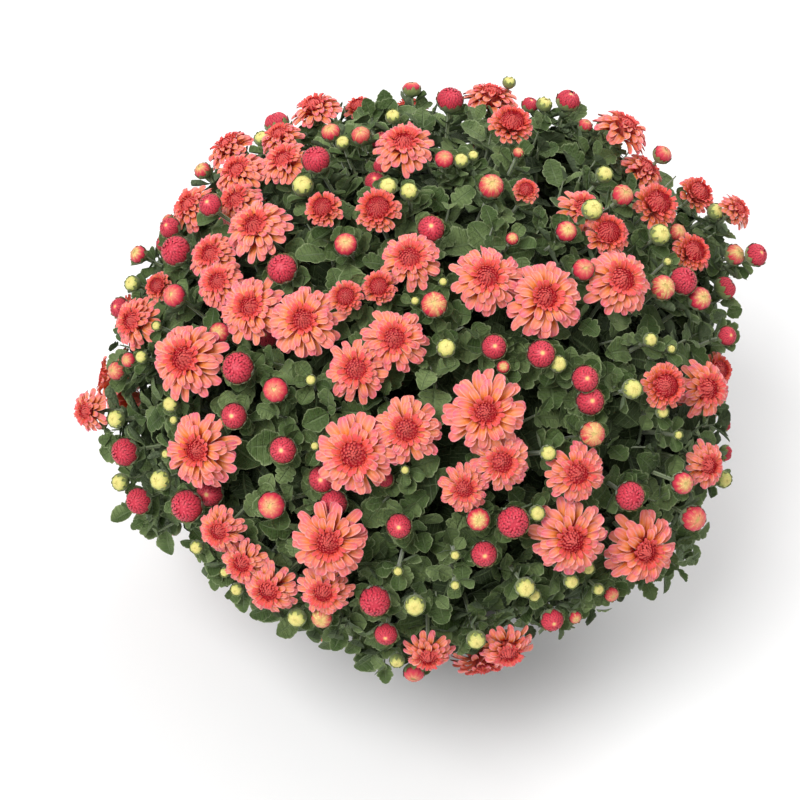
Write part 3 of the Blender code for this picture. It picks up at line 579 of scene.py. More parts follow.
def mound_radii(z, grow=0.0):
    height = MOUND_RISE if z >= MOUND_MIDDLE.z else MOUND_DROP
    return Vector((MOUND_RADIUS + grow, MOUND_RADIUS + grow, height + grow))


def shares_of(offset, radii, power=1):
    return Vector([offset[i] / radii[i] ** power for i in range(3)])


def out_of_mound(point):
    """Direction square to the mound's surface at a point on it."""
    return shares_of(point - MOUND_MIDDLE, mound_radii(point.z), 2).normalized()


def on_mound(sight, grow):
    """Where a line of sight meets the mound's upper or lower half, or comes nearest to it."""
    for side in (1, -1):
        radii = mound_radii(MOUND_MIDDLE.z + side, grow)
        start = shares_of(EYE - MOUND_MIDDLE, radii)
        step = shares_of(sight, radii)
        middle = -start.dot(step) / step.length_squared
        short = middle ** 2 - (start.length_squared - 1) / step.length_squared
        point = EYE + sight * (middle - math.sqrt(short) if short > 0 else middle)
        if (point.z - MOUND_MIDDLE.z) * side >= 0:
            break
    return point


def lean_of(head):
    """How far a head turns from the mound's own direction to the light, which is where the eye is."""
    lean = LEANS_TO_EYE[-1][1]
    for (low, before), (high, after) in zip(LEANS_TO_EYE, LEANS_TO_EYE[1:]):
        if head.down < high:
            share = max(0, (head.down - low) / (high - low))
            lean = before + (after - before) * share
            break
    return lean if head.kind == "bloom" else lean + CLOSED_LEAN


def place_seen(head, random_turn):
    """A head of the picture. Its middle is on the line of sight, over the mound's surface."""
    sight = line_of_sight(head.across, head.down)
    surface = on_mound(sight, -head.tuck * TUCK_STEP)
    width = head.width * STEP * (surface - EYE).length
    rise = MIDDLE_HEIGHTS[head.kind] * width / 2
    middle = on_mound(sight, rise - head.tuck * TUCK_STEP)
    axis = (out_of_mound(middle) + lean_of(head) * (EYE - middle).normalized()).normalized()
    return Placed(head.kind, middle - axis * rise, axis, width, random_turn)


def place_upright(kind, point, width, turn):
    """A head that stands out of the mound at a point, and a little up."""
    return Placed(kind, point, (out_of_mound(point) + LEAN_UP).normalized(), width, turn)


def spiral_directions(count):
    """Directions spread evenly over a ball, from its top down."""
    for k in range(count):
        height = 1 - 2 * (k + 0.5) / count
        ring = math.sqrt(1 - height ** 2)
        yield Vector((ring * math.cos(k * GOLDEN_ANGLE), ring * math.sin(k * GOLDEN_ANGLE), height))


def mound_point(direction, grow=0.0):
    """Where the mound's surface is in a direction from its middle."""
    return MOUND_MIDDLE + direction * mound_radii(MOUND_MIDDLE.z + direction.z, grow)


def hidden_points(steps):
    """Points spread evenly over the side of the mound that the picture can't show."""
    for direction in spiral_directions(steps):
        point = mound_point(direction)
        facing = out_of_mound(point).dot((EYE - point).normalized())
        least = HIDDEN_ABOVE if point.z > MOUND_MIDDLE.z else HIDDEN_BELOW
        if point.z > LOWEST_HEAD and facing < least:
            yield point


def to_mound(point):
    """The point of the mound's surface in the same direction from its middle."""
    offset = point - MOUND_MIDDLE
    return MOUND_MIDDLE + offset / shares_of(offset, mound_radii(point.z)).length


def crowded(point, width, heads, clear):
    """Whether a head of this width would come too close to one of the heads."""
    return any((other.seat - point).length < clear * (other.width + width) for other in heads)


def place_hidden(seen, rng):
    """Heads where the picture can't show them: pairs of touching blooms, then small heads between."""
    placed = list(seen)

    def add(points, kind):
        group = []
        for point in points:
            width = USUAL_WIDTHS[kind] * rng.uniform(*WIDTH_RANGE)
            group.append(place_upright(kind, point, width, rng.random()))
        if not any(crowded(head.seat, head.width, placed, HIDDEN_CLEAR) for head in group):
            placed.extend(group)

    for point in hidden_points(PAIR_STEPS):
        normal = out_of_mound(point)
        along = Matrix.Rotation(rng.uniform(0, math.pi), 3, normal) @ normal.orthogonal().normalized()
        reach = along * PAIR_REACH * USUAL_WIDTHS["bloom"]
        add([to_mound(point + reach), to_mound(point - reach)], "bloom")
    for number, point in enumerate(hidden_points(FILL_STEPS)):
        add([point], FILL_KINDS[number % len(FILL_KINDS)])
    return placed


def all_heads():
    """Every head, seen ones first."""
    rng = random.Random(11)
    seen = [place_seen(Head(kind, *row), rng.random()) for kind, rows in SEEN_HEADS.items() for row in rows]
    heads = place_hidden(seen, rng)
    for kind, rows in SMALL_HEADS.items():
        heads.extend(place_seen(Head(kind, *row), rng.random()) for row in rows)
    for number, point in enumerate(hidden_points(SMALL_STEPS)):
        width = rng.uniform(*SMALL_WIDTHS)
        point = to_mound(point + Vector([rng.gauss(0, SMALL_STRAY) for _ in range(3)]))
        if not crowded(point, width, heads, SMALL_CLEAR):
            kind = SMALL_KINDS[number % len(SMALL_KINDS)]
            heads.append(place_upright(kind, point, width, rng.random()))
    return heads


# Headings of the leafy stems: one up the middle and a ring of them round it.
AXES = [Vector((0, 0, 1))]
for i in range(RING_STEMS):
    angle = RING_START + i * 2 * math.pi / RING_STEMS
    flat = math.cos(RING_RISE)
    AXES.append(Vector((flat * math.cos(angle), flat * math.sin(angle), math.sin(RING_RISE))))
HEADS = all_heads()
STEM_NODES = ["leafy_stem_top", *[f"leafy_stem_{i}" for i in range(1, RING_STEMS + 1)]]


def share_of(point):
    """Number of the leafy stem that a point of the mound belongs to."""
    direction = (Vector(point) - CROWN).normalized()
    return max(range(len(AXES)), key=lambda i: direction.dot(AXES[i]))


# Stems and stalks
# Seven leafy stems rise from the soil, woody at the foot, and each forks into thin green stalks,
# ribbed and downy, that end in a head. Stalks of low heads first bend out over the pot's rim.

RING_FORK = 0.070
TOP_FORK = 0.062
RING_ROOT_RADIUS = 0.036
ROOT_DEPTH = 0.020
COLLAR_HEIGHT = 0.006
STEM_RADII = (0.0042, 0.0042, 0.0040, 0.0034)
STEM_SIDES = 10
STALK_RADII = (0.0017, 0.0011)
OVER_RIM_RADIUS = 0.124
OVER_RIM_HEIGHT = 0.168
STALK_POINTS = 9
STALK_SIDES = 6
NECK_LENGTH = 0.016
NECK_MOST = 0.3
ARCH_SHARE = 0.45
STEM_GREEN = (0.150, 0.210, 0.080, 1)
STEM_PALE = (0.34, 0.40, 0.21, 1)
STEM_WOOD = (0.075, 0.060, 0.036, 1)

Stalk = namedtuple("Stalk", "head own path")


def stem_material():
    """Pale green skin with ribs along it and short white down, browner at the woody foot."""
    skin = Skin("downy_stem", Roughness=0.7, Sheen_Weight=0.5, Sheen_Roughness=0.5)
    across, age = skin.read("across", "age")
    rib = (across * (5 * math.pi)).math("SINE")
    green = rib.stretch(-1, 1, 0.0, 0.8).mix(STEM_GREEN, STEM_PALE)
    skin.feed("Base Color", age.stretch(0.5, 1.0).mix(green, STEM_WOOD))
    skin.raise_surface(rib + skin.patches(1800.0), 0.0003, 0.7)
    return skin.material


def unit(vectors):
    return vectors / np.linalg.norm(vectors, axis=-1, keepdims=True)


def tube(path, radii, sides, age=0.0):
    """A tube along a path of points, open at its roots and closed by its last ring."""
    path = np.array(path)
    ahead = unit(np.gradient(path, axis=0))
    reference = np.eye(3)[np.argmin(np.abs(path[-1] - path[0]))]
    across = unit(np.cross(ahead, reference))
    up = np.cross(across, ahead)
    angle = np.arange(sides) * 2 * math.pi / sides
    ring = np.cos(angle)[None, :, None] * across[:, None] + np.sin(angle)[None, :, None] * up[:, None]
    points = (path[:, None] + ring * np.array(radii)[:, None, None]).reshape(-1, 3)
    values = {
        "along": np.repeat(np.linspace(0, 1, len(path)), sides),
        "across": np.tile(np.arange(sides) / sides * 2, len(path)),
        "age": np.full(len(points), age),
    }
    return points, [grid_faces(len(path), sides, True)], values, 0


def fork_of(own):
    return CROWN + AXES[own] * (RING_FORK if own else TOP_FORK)


def stalk_path(head, own):
    """A stalk's line from its fork, over the rim if it ends low, to its seat along the head's own axis."""
    fork = fork_of(own)
    start = fork
    if head.seat.z <= OVER_RIM_HEIGHT:
        flat = Vector((head.seat.x, head.seat.y, 0)).normalized()
        start = flat * OVER_RIM_RADIUS + Vector((0, 0, OVER_RIM_HEIGHT))
    neck = min(NECK_LENGTH, NECK_MOST * (head.seat - start).length)
    corners = [start, start.lerp(head.seat, ARCH_SHARE), head.seat - head.axis * neck, head.seat]
    path = []
    for share in np.linspace(0, 1, STALK_POINTS):
        weights = [(1 - share) ** 3, 3 * share * (1 - share) ** 2, 3 * share ** 2 * (1 - share), share ** 3]
        path.append(sum((corner * weight for corner, weight in zip(corners, weights)), Vector()))
    if start is not fork:
        path = [fork, fork.lerp(start, 0.5), *path]
    return np.array(path)


def main_stem(own):
    """The main stem of a leafy stem, from the soil to its fork."""
    root = Vector((0, 0, 0))
    if own:
        root = Vector((AXES[own].x, AXES[own].y, 0)).normalized() * RING_ROOT_RADIUS
    heights = (SOIL_TOP - ROOT_DEPTH, SOIL_TOP + COLLAR_HEIGHT, POT_HEIGHT)
    path = [root + Vector((0, 0, height)) for height in heights] + [fork_of(own)]
    return tube(path, STEM_RADII, STEM_SIDES, age=1.0)


STEM_PARTS = [[main_stem(own)] for own in range(len(AXES))]
STALKS = []
for head in HEADS:
    own = share_of(head.seat)
    path = stalk_path(head, own)
    STALKS.append(Stalk(head, own, path))
    STEM_PARTS[own].append(tube(path, np.linspace(*STALK_RADII, len(path)), STALK_SIDES))


# Leaves
# Thin soft leaves, dark grey-green above, with rounded lobes, sunken veins and a pale rim that is partly
# a painted highlight. Each grows on a short stalk of its own from a flowering or a leafy shoot, in a spiral,
# larger the further from its tip.

FOLIAGE_REACH = [np.array(corner) for corner in cad_box]
LEAF_COLUMNS = np.array([-1, -0.5, 0, 0.5, 1])
SHADE_COLUMNS = np.array([-1, 0, 1])
# Half of a lobed leaf's outline: how far up the rib, then out and up at the edge, by the leaf's length.
LEAF_ROWS = (
    (0.00, 0.020, 0.00), (0.16, 0.022, 0.16), (0.22, 0.13, 0.215), (0.28, 0.275, 0.30), (0.33, 0.315, 0.39),
    (0.37, 0.28, 0.45), (0.41, 0.24, 0.468), (0.46, 0.335, 0.51), (0.53, 0.375, 0.645), (0.57, 0.335, 0.71),
    (0.62, 0.25, 0.725), (0.69, 0.27, 0.81), (0.765, 0.21, 0.872), (0.82, 0.18, 0.94), (0.90, 0.09, 0.985),
    (1.00, 0.02, 1.00),
)
SHADE_ROWS = (
    (0.00, 0.02, 0.00), (0.18, 0.03, 0.18), (0.29, 0.28, 0.31), (0.41, 0.27, 0.468), (0.52, 0.38, 0.62),
    (0.64, 0.28, 0.74), (0.75, 0.24, 0.87), (1.00, 0.02, 1.00),
)
# The same leaf with no lobes, and how deep the lobes of a leaf are cut, at least and at most.
FULL_OUTLINE = ((0.16, 0.25, 0.40, 0.62, 0.81, 0.93, 1.0), (0.022, 0.22, 0.325, 0.385, 0.285, 0.14, 0.02))
LOBING = (0.15, 1.15)
# The lobing of a blade that keeps its own outline, as the spoon-shaped leaves do.
UNLOBED = 9.0
STALK_HALF = 0.06
ROW_WOBBLE = 0.025
EDGE_WAVE = 0.018
WAVES = 2.3
QUILT = 0.05
VEIN_PITCH = 0.13
WAVE_SKEW = 1.5
FLATTEST_CURL = 0.01
# The near-black green of leaves deep in the mound is painted shade.
LEAF_PAINTED_SHADE = (0.014, 0.026, 0.006, 1)
LEAF_GREEN = (0.046, 0.086, 0.018, 1)
LEAF_BLOOM = (0.265, 0.345, 0.135, 1)
LEAF_VEIN = (0.165, 0.225, 0.098, 1)
# The rim colour is partly the margin's own paleness and partly a painted highlight.
LEAF_RIM_AND_HIGHLIGHT = (0.330, 0.400, 0.200, 1)
LEAF_BACK = (0.150, 0.200, 0.105, 1)

Leaf = namedtuple("Leaf", "root heading normal length curl fold tone lobing")

# How far below its head each leaf of a flowering shoot grows, how long it is, and how much it rises.
SHOOT_LEAVES = (
    (0.013, 0.0150, 40), (0.019, 0.0195, 30), (0.026, 0.0235, 22), (0.035, 0.027, 14), (0.046, 0.030, 6),
)
# The same for a leafy shoot, below its tip.
ROSETTE = (
    (0.000, 0.0120, 62), (0.003, 0.0155, 48), (0.007, 0.0195, 36), (0.012, 0.0235, 26), (0.018, 0.027, 16),
    (0.026, 0.030, 6),
)
LEAFY_SPOTS = 430
LEAFY_DEPTHS = (0.003, 0.019)
LEAFY_LENGTH = 0.040
LEAFY_RADII = (0.0014, 0.0011, 0.0004)
LIGHTWARD = Vector((0, 0, 0.15))
# Leafy shoots that the picture shows at the mound's edge, across and down it.
EDGE_SHOOTS = (
    (146, 520), (134, 508), (158, 532), (120, 440), (112, 430), (120, 345), (372, 652), (360, 640),
    (384, 664), (345, 628), (604, 150), (618, 166), (592, 138), (630, 150), (560, 116), (546, 122),
    (576, 130), (700, 216), (716, 232), (704, 270), (712, 262), (388, 112), (372, 118), (306, 132),
    (344, 106), (326, 128), (660, 180), (648, 196), (676, 176), (684, 552), (676, 566), (690, 540),
    (644, 580), (470, 634), (488, 628), (300, 622), (720, 300), (724, 316), (476, 120), (540, 128),
    (236, 580), (216, 560), (600, 131), (612, 146), (571, 119), (597, 158), (491, 134), (503, 142),
    (584, 142), (606, 160), (572, 134),
)
EDGE_LEAN = 0.6
EDGE_DEPTH = 0.004
LEAF_TRIES = 5
TRY_TURN = 0.45
TRY_DROP = 8
TRY_SHRINK = 0.9
LEAF_WIDTH = 0.36
LEAF_ROLL = 0.36
LEAF_CURLS = (-0.2, 1.0)
LEAF_FOLDS = (0.05, 0.45)
SPIRAL_STRAY = 0.2
SPOT_RANGE = (0.9, 1.1)
LENGTH_RANGE = (0.8, 1.12)
HEADING_STEP = 0.004
HEADING_STRAY = 0.25
# Places on a leaf's blade, along it and to the side, that are tried against the heads.
LEAF_FEELERS = ((0.3, 0), (0.5, -1), (0.5, 1), (0.75, -1), (0.75, 1), (1.0, 0), (0.7, 0))
DEEPEST_LEAF = 0.052
DEEP_ROOT = 0.025
SHADE_LEAVES = 620
SHADE_DEPTHS = (0.030, 0.060)
SHADE_LENGTHS = (0.032, 0.040)
SHADE_STALK = 0.018
# Curl, fold, tone and lobing of a leaf in the shade.
SHADE_FORM = (0.4, 0.1, 0.0, 0.7)
# How far a leaf deep in the mound is darkened as painted shade.
SHADE_DARKENING = 0.8
LOWEST_LEAF = 0.082
LOWEST_SHOOT = LOWEST_LEAF + 0.020
# How far open and closed heads stand over their seats, by their half width, and how near leaves come to
# a head: beside it, under its seat and over its face.
OPEN_TOP = 0.7
CLOSED_TOP = 1.9
HEAD_ROOM = 1.04
BESIDE_HEAD = 0.0005
UNDER_HEAD = 0.0015
OVER_HEAD = 0.030
# How far under a bloom, and how near to its middle, no shoot is grown.
COVER_DEPTH = 0.030
COVER_SHARE = 0.55
POT_CLEAR = 0.002


def leaf_material():
    """Leaf skin: veins paler, a pale rim that is partly a painted highlight, a cloudy grey down over dark
    green, a paler dull underside, and painted shade on the leaves deep in the mound.
    """
    skin = Skin("leaf_skin", Specular_IOR_Level=0.25, Sheen_Weight=0.05, Sheen_Roughness=0.45)
    along, across, tone, age = skin.read("along", "across", "tone", "age")
    side = abs(across)
    lateral = (along * (2 * math.pi / VEIN_PITCH)).math("COSINE").stretch(0.80, 0.99)
    veins = side.stretch(0.03, 0.14, 1, 0).or_more(lateral * 0.55)
    cloud = skin.patches(70.0, 4.0) * tone.stretch(0, 1, 0.08, 0.85)
    # Leaves deep in the mound go towards a near-black green: painted shade.
    ground = age.mix(cloud.mix(LEAF_GREEN, LEAF_BLOOM), LEAF_PAINTED_SHADE)
    veined = (veins * 0.6).mix(ground, LEAF_VEIN)
    # The pale rim is partly the leaf's own hairy margin and partly a painted highlight.
    rim = side.stretch(0.86, 1.0) * age.stretch(0.0, 0.5, 1, 0)
    with_pale_rim_and_highlight = (rim * 0.75).mix(veined, LEAF_RIM_AND_HIGHLIGHT)
    skin.feed("Base Color", skin.behind().mix(with_pale_rim_and_highlight, LEAF_BACK))
    skin.feed("Roughness", skin.patches(240.0).stretch(0, 1, 0.48, 0.72))
    skin.raise_surface(skin.patches(600.0) - veins * 1.4, 0.0006, 0.8)
    return skin.material


def many_grids(points, **values):
    """Points, faces and values of many equal small grids, from points by grid, row and column."""
    count, rows, columns = points.shape[:3]
    faces = grid_faces(rows, columns)
    faces = (faces[None] + np.arange(count)[:, None, None] * rows * columns).reshape(-1, 4)
    spread = {key: np.broadcast_to(value, points.shape[:3]).ravel() for key, value in values.items()}
    return points.reshape(-1, 3), [faces], spread


def blades(leaves, outline, columns, cup, rng, age=0.0):
    """Blades of one outline as one part: each arched along its length, folded at its rib and waved."""
    rib, half, edge = np.array(outline).T[:, None, :, None]
    size, curl, fold, tone, lobing = np.array([leaf[3:] for leaf in leaves]).T[:, :, None, None]
    count = len(leaves)
    blade = half > STALK_HALF
    full = np.where(blade, np.interp(edge, *FULL_OUTLINE), half)
    half = np.where(lobing < UNLOBED, full + (half - full) * lobing, half)
    half = half * (1 + ROW_WOBBLE * rng.standard_normal((count, len(outline), 1)) * blade)
    side = columns[None, None, :]
    far = np.abs(side)
    y = rib + (edge - rib) * far
    bend = np.where(np.abs(curl) < FLATTEST_CURL, FLATTEST_CURL, curl)
    ahead = np.sin(bend * y) / bend
    rise = -(1 - np.cos(bend * y)) / bend
    phase = rng.uniform(0, 2 * math.pi, (count, 1, 1))
    rise = rise + fold * far * half + cup * side ** 2 * half
    wave = np.sin(2 * math.pi * WAVES * y + phase + WAVE_SKEW * side)
    rise = rise + EDGE_WAVE * wave * side ** 2 * blade
    rise = rise - QUILT * np.cos(2 * math.pi * y / VEIN_PITCH) * far * (1 - far) * blade
    out = side * half * np.ones_like(y)
    heading, normal, root = (np.array([leaf[i] for leaf in leaves]) for i in (1, 2, 0))
    local = np.stack([out, ahead * np.ones_like(out), rise * np.ones_like(out)], -1) * size[..., None]
    basis = np.stack([np.cross(heading, normal), heading, normal], 1)
    points = np.einsum("brcx,bxk->brck", local, basis) + root[:, None, None]
    return *many_grids(points, along=y, across=side, tone=tone, age=age), 0


SEATS = np.array([head.seat for head in HEADS])
HEAD_AXES = np.array([head.axis for head in HEADS])
HEAD_RADII = np.array([head.width / 2 for head in HEADS])
IS_BLOOM = np.array([head.kind == "bloom" for head in HEADS])
HEAD_TOPS = HEAD_RADII * np.where(IS_BLOOM, OPEN_TOP, CLOSED_TOP)


def from_heads(points):
    """How far each point is along and off the axis of each head."""
    offset = points[:, None] - SEATS[None]
    height = np.einsum("phk,hk->ph", offset, HEAD_AXES)
    return height, np.linalg.norm(offset - height[..., None] * HEAD_AXES, axis=-1)


def touches_head(points):
    """Whether any of these points is in a head, or stands over a head's face."""
    height, far = from_heads(points)
    beside = far < HEAD_RADII * HEAD_ROOM + BESIDE_HEAD
    return bool((beside & (height > -UNDER_HEAD) & (height < HEAD_TOPS + OVER_HEAD)).any())


def covered(point):
    """Whether a point lies close under the middle of a bloom."""
    height, far = from_heads(np.array([point]))
    under = (far < COVER_SHARE * HEAD_RADII) & (height < 0) & (height > -COVER_DEPTH)
    return bool((under & IS_BLOOM).any())


def inside_bounds(points):
    """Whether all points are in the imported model's box and none is in the pot."""
    low, high = FOLIAGE_REACH
    over_pot = np.linalg.norm(points[:, :2], axis=1) < POT_RIM_RADIUS + POT_CLEAR
    in_pot = over_pot & (points[:, 2] < POT_HEIGHT + POT_CLEAR)
    return bool((points > low).all() and (points < high).all() and not in_pot.any())


def leaf_points(leaf):
    """A few points of a leaf's blade, to try it against the heads."""
    across = np.cross(leaf.heading, leaf.normal)
    found = []
    for y, side in LEAF_FEELERS:
        drop = -(1 - math.cos(leaf.curl * y)) / leaf.curl if abs(leaf.curl) > FLATTEST_CURL else 0.0
        lifted = leaf.normal * (drop + abs(side) * leaf.fold * LEAF_WIDTH)
        found.append(leaf.root + (leaf.heading * y + across * side * LEAF_WIDTH + lifted) * leaf.length)
    return np.array(found)


def leaf_at(root, stem, azimuth, rise, length, rng):
    """A leaf on a stem at root: azimuth turns it about the stem, and rise lifts it towards its tip."""
    first = unit(np.cross(stem, np.eye(3)[np.argmin(np.abs(stem))]))
    flat = first * math.cos(azimuth) + np.cross(stem, first) * math.sin(azimuth)
    heading = flat * math.cos(rise) + stem * math.sin(rise)
    normal = stem * math.cos(rise) - flat * math.sin(rise)
    roll = rng.normal(0, LEAF_ROLL)
    normal = unit(normal * math.cos(roll) + np.cross(heading, normal) * math.sin(roll))
    curl, fold, tone = rng.uniform(*LEAF_CURLS), rng.uniform(*LEAF_FOLDS), rng.random()
    return Leaf(root, heading, normal, length, curl, fold, tone, rng.uniform(*LOBING))


def fitting_leaf(root, stem, azimuth, rise, length, rng):
    """The first of a few tries at a leaf that is clear of every head, or None."""
    for number in range(LEAF_TRIES):
        leaf = leaf_at(root, stem, azimuth + TRY_TURN * number, math.radians(rise), length, rng)
        points = leaf_points(leaf)
        if inside_bounds(points) and not touches_head(points):
            return leaf
        length = length * TRY_SHRINK
        rise = rise - TRY_DROP
    return None


def depth_in_mound(point):
    """How far inside the mound's surface a point lies, along the line from its middle."""
    point = Vector(point)
    return (to_mound(point) - MOUND_MIDDLE).length - (point - MOUND_MIDDLE).length


def shoot_leaves(path, spots, rng):
    """Leaves up a shoot: spots give each one's distance from the shoot's end, its length and its rise."""
    steps = np.linalg.norm(np.diff(path, axis=0), axis=1)
    left = np.concatenate([np.cumsum(steps[::-1])[::-1], [0]])

    def place(far):
        return np.array([np.interp(-far, -left, path[:, k]) for k in range(3)])

    azimuth = rng.uniform(0, 2 * math.pi)
    grown = []
    for far, length, rise in spots:
        azimuth += GOLDEN_ANGLE + rng.normal(0, SPIRAL_STRAY)
        far = far * rng.uniform(*SPOT_RANGE)
        root = place(far)
        if far > left[0] or depth_in_mound(root) > DEEPEST_LEAF or root[2] < LOWEST_LEAF:
            continue
        stem = unit(place(far - HEADING_STEP) - place(far + HEADING_STEP))
        leaf = fitting_leaf(root, stem, azimuth, rise, length * rng.uniform(*LENGTH_RANGE), rng)
        if leaf:
            grown.append(leaf)
    return grown


def leafy_path(tip, heading):
    """Path of a short leafy shoot that ends at tip."""
    return np.array([tip - heading * LEAFY_LENGTH, tip - heading * (LEAFY_LENGTH / 2), tip])


def leafy_shoots(rng):
    """Short shoots without a head that fill the mound between the heads, as paths to their tips."""
    for direction in spiral_directions(LEAFY_SPOTS):
        point = mound_point(direction)
        if point.z < LOWEST_SHOOT:
            continue
        normal = out_of_mound(point)
        tip = point - normal * rng.uniform(*LEAFY_DEPTHS)
        if not touches_head(np.array([tip + normal * HEADING_STEP])) and not covered(tip):
            stray = Vector(rng.normal(0, HEADING_STRAY, 3))
            yield leafy_path(tip, (normal + stray + LIGHTWARD).normalized())
    for across, down in EDGE_SHOOTS:
        tip = on_mound(line_of_sight(across, down), -EDGE_DEPTH)
        yield leafy_path(tip, (out_of_mound(tip) + BACK * EDGE_LEAN + LIGHTWARD).normalized())


def shade_leaves(rng):
    """Leaves deep in the mound, which close it against the light. Their darker colour is painted shade."""
    for direction in spiral_directions(SHADE_LEAVES):
        point = np.array(mound_point(direction, -rng.uniform(*SHADE_DEPTHS)))
        normal = unit(np.array(out_of_mound(Vector(point))) + rng.normal(0, HEADING_STRAY, 3))
        heading = unit(np.cross(normal, rng.standard_normal(3)))
        length = rng.uniform(*SHADE_LENGTHS)
        leaf = Leaf(point - heading * SHADE_STALK, heading, normal, length, *SHADE_FORM)
        if point[2] > LOWEST_LEAF and inside_bounds(leaf_points(leaf)):
            yield leaf


leaf_rng = np.random.default_rng(5)
lit, shaded = ([[] for _ in AXES] for _ in range(2))
grown = []
for stalk in STALKS:
    grown.extend(shoot_leaves(stalk.path, SHOOT_LEAVES, leaf_rng))
for path in list(leafy_shoots(leaf_rng)):
    leaves = shoot_leaves(path, ROSETTE, leaf_rng)
    if leaves:
        STEM_PARTS[share_of(path[-1])].append(tube(path, LEAFY_RADII, STALK_SIDES))
        grown.extend(leaves)
# Leaves rooted deep in the mound are drawn darker, as painted shade.
for leaf in grown:
    deep = depth_in_mound(leaf.root) > DEEP_ROOT
    (shaded if deep else lit)[share_of(leaf.root)].append(leaf)
for leaf in shade_leaves(leaf_rng):
    shaded[share_of(leaf.root)].append(leaf)

LEAF_SKIN = leaf_material()
DOWNY_STEM = stem_material()
blade_rng = np.random.default_rng(6)
for own, node in enumerate(STEM_NODES):
    bright = blades(lit[own], LEAF_ROWS, LEAF_COLUMNS, 0.0, blade_rng)
    dark = blades(shaded[own], SHADE_ROWS, SHADE_COLUMNS, 0.0, blade_rng, age=SHADE_DARKENING)
    leaves = mesh_of(f"leaves_of_{node}", [bright, dark], [LEAF_SKIN])
    stems = mesh_of(f"stalks_of_{node}", STEM_PARTS[own], [DOWNY_STEM])
    for piece in (leaves, stems):
        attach(piece, "root")
        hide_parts(node)


# Calyxes and bracts
# Under each head sits a cup of overlapping yellow-green scales with papery edges, and on the stalk just
# below it three to five small spoon-shaped leaves, cupped upwards, with a bright pale rim that is partly a
# painted highlight.

BRACT_SPOTS = {
    "bloom": ((0.006, 0.012, 8), (0.010, 0.014, 6), (0.014, 0.015, 6)),
    "young": ((0.004, 0.012, 14), (0.007, 0.014, 12), (0.010, 0.015, 10), (0.013, 0.016, 8)),
    "ball": (
        (0.0035, 0.012, 14), (0.006, 0.0135, 12), (0.008, 0.0145, 10), (0.010, 0.015, 10),
        (0.013, 0.016, 8),
    ),
    "bud": (
        (0.0035, 0.0115, 14), (0.006, 0.013, 12), (0.008, 0.014, 10), (0.010, 0.015, 10),
        (0.013, 0.016, 8),
    ),
    "green": ((0.0035, 0.0105, 14), (0.006, 0.012, 12), (0.008, 0.013, 10), (0.011, 0.014, 10)),
}
SPOON_ROWS = (
    (0.00, 0.050, 0.00), (0.20, 0.070, 0.20), (0.42, 0.25, 0.42), (0.62, 0.34, 0.62), (0.82, 0.30, 0.84),
    (0.93, 0.18, 0.95), (1.00, 0.07, 1.00),
)
SPOON_COLUMNS = np.array([-1, -0.6, 0, 0.6, 1])
SPOON_CUP = 0.75
SPOON_CURL = -0.5
SPOON_FOLD = 0.1
CALYX_SCALES = 14
# The calyx of an open head, as half width and height, and how far up a head of each kind its calyx comes.
OPEN_CALYX = (0.0052, 0.0042)
CALYX_REACH = {"green": 0.76, "bud": 0.64, "ball": 0.60, "bloom": 0.44, "young": 0.44}
# The half width, rise and middle of a closed head's calyx, as shares of the head's width.
CALYX_EGG = (0.5, 0.46, 0.45)
CALYX_ROOT = 176
SCALE_LAP = 1.15
SCALE_LIFT = (0.0, 0.0004, 0.0009)
SCALE_STRAY = 0.05
# A scale's width at steps from its root to near its tip, and how round its tip is.
SCALE_STEPS = (0, 0.45, 0.8, 1)
SCALE_WIDTHS = (0.75, 1, 0.85)
TIP_ROUND = 0.10
# The least sine by which a scale is widened near the top of its egg.
TOP_SINE = 0.12
SCALE_GREEN = (0.115, 0.175, 0.040, 1)
SCALE_TIP = (0.42, 0.47, 0.17, 1)
DIMPLE = 0.16
DIMPLE_ANGLE = 0.30

Egg = namedtuple("Egg", "radius rise middle")


def scale_material():
    """Yellow-green scales, darker along their middle and papery pale at their edges."""
    skin = Skin("calyx_scale", Roughness=0.55, Sheen_Weight=0.2)
    along, across, tone = skin.read("along", "across", "tone")
    pale = abs(across).stretch(0.55, 1.0).or_more(along.stretch(0.45, 1.0, 0, 0.8))
    pale = pale * tone.stretch(0, 1, 0.6, 1.0)
    skin.feed("Base Color", pale.mix(SCALE_GREEN, SCALE_TIP))
    skin.raise_surface(skin.patches(1500.0), 0.0003, 0.5)
    return skin.material


def sunk(egg, angle):
    """How deep the dimple in an egg's top is at an angle from the top."""
    return DIMPLE * egg.rise * np.exp(-(angle / DIMPLE_ANGLE) ** 2)


def egg_scales(egg, azimuths, starts, ends, spans, lift, rows, columns, rng, tip=0.3, dome=0.35):
    """Scales that hug an egg, each from its root angle to its tip angle from the top, in head space.
    lift gives how far a scale's root, middle and tip stand off the egg."""
    along = np.linspace(0, 1, rows + 1)[None, :, None]
    side = np.linspace(-1, 1, columns + 1)[None, None, :]
    start, end = starts[:, None, None], ends[:, None, None]
    theta = start + (end - start) * (along - TIP_ROUND * side ** 2 * along ** 3)
    shape = np.interp(along, SCALE_STEPS, (*SCALE_WIDTHS, tip))
    width = side * shape * spans[:, None, None] / np.maximum(np.sin(theta), TOP_SINE)
    phi = azimuths[:, None, None] + width
    stand = np.interp(along, (0, 0.5, 1), lift) - dome * lift[1] * side ** 2
    across = (egg.radius + stand) * np.sin(theta)
    up = egg.middle + (egg.rise + stand) * np.cos(theta) - sunk(egg, theta)
    points = np.stack([across * np.cos(phi), across * np.sin(phi), up + 0 * phi], -1)
    return outward(many_grids(points, along=along, across=side, tone=rng.random((len(azimuths), 1, 1))))


def outward(part):
    """A part with its faces turned round."""
    points, (faces,), values = part
    return points, [faces[:, ::-1]], values


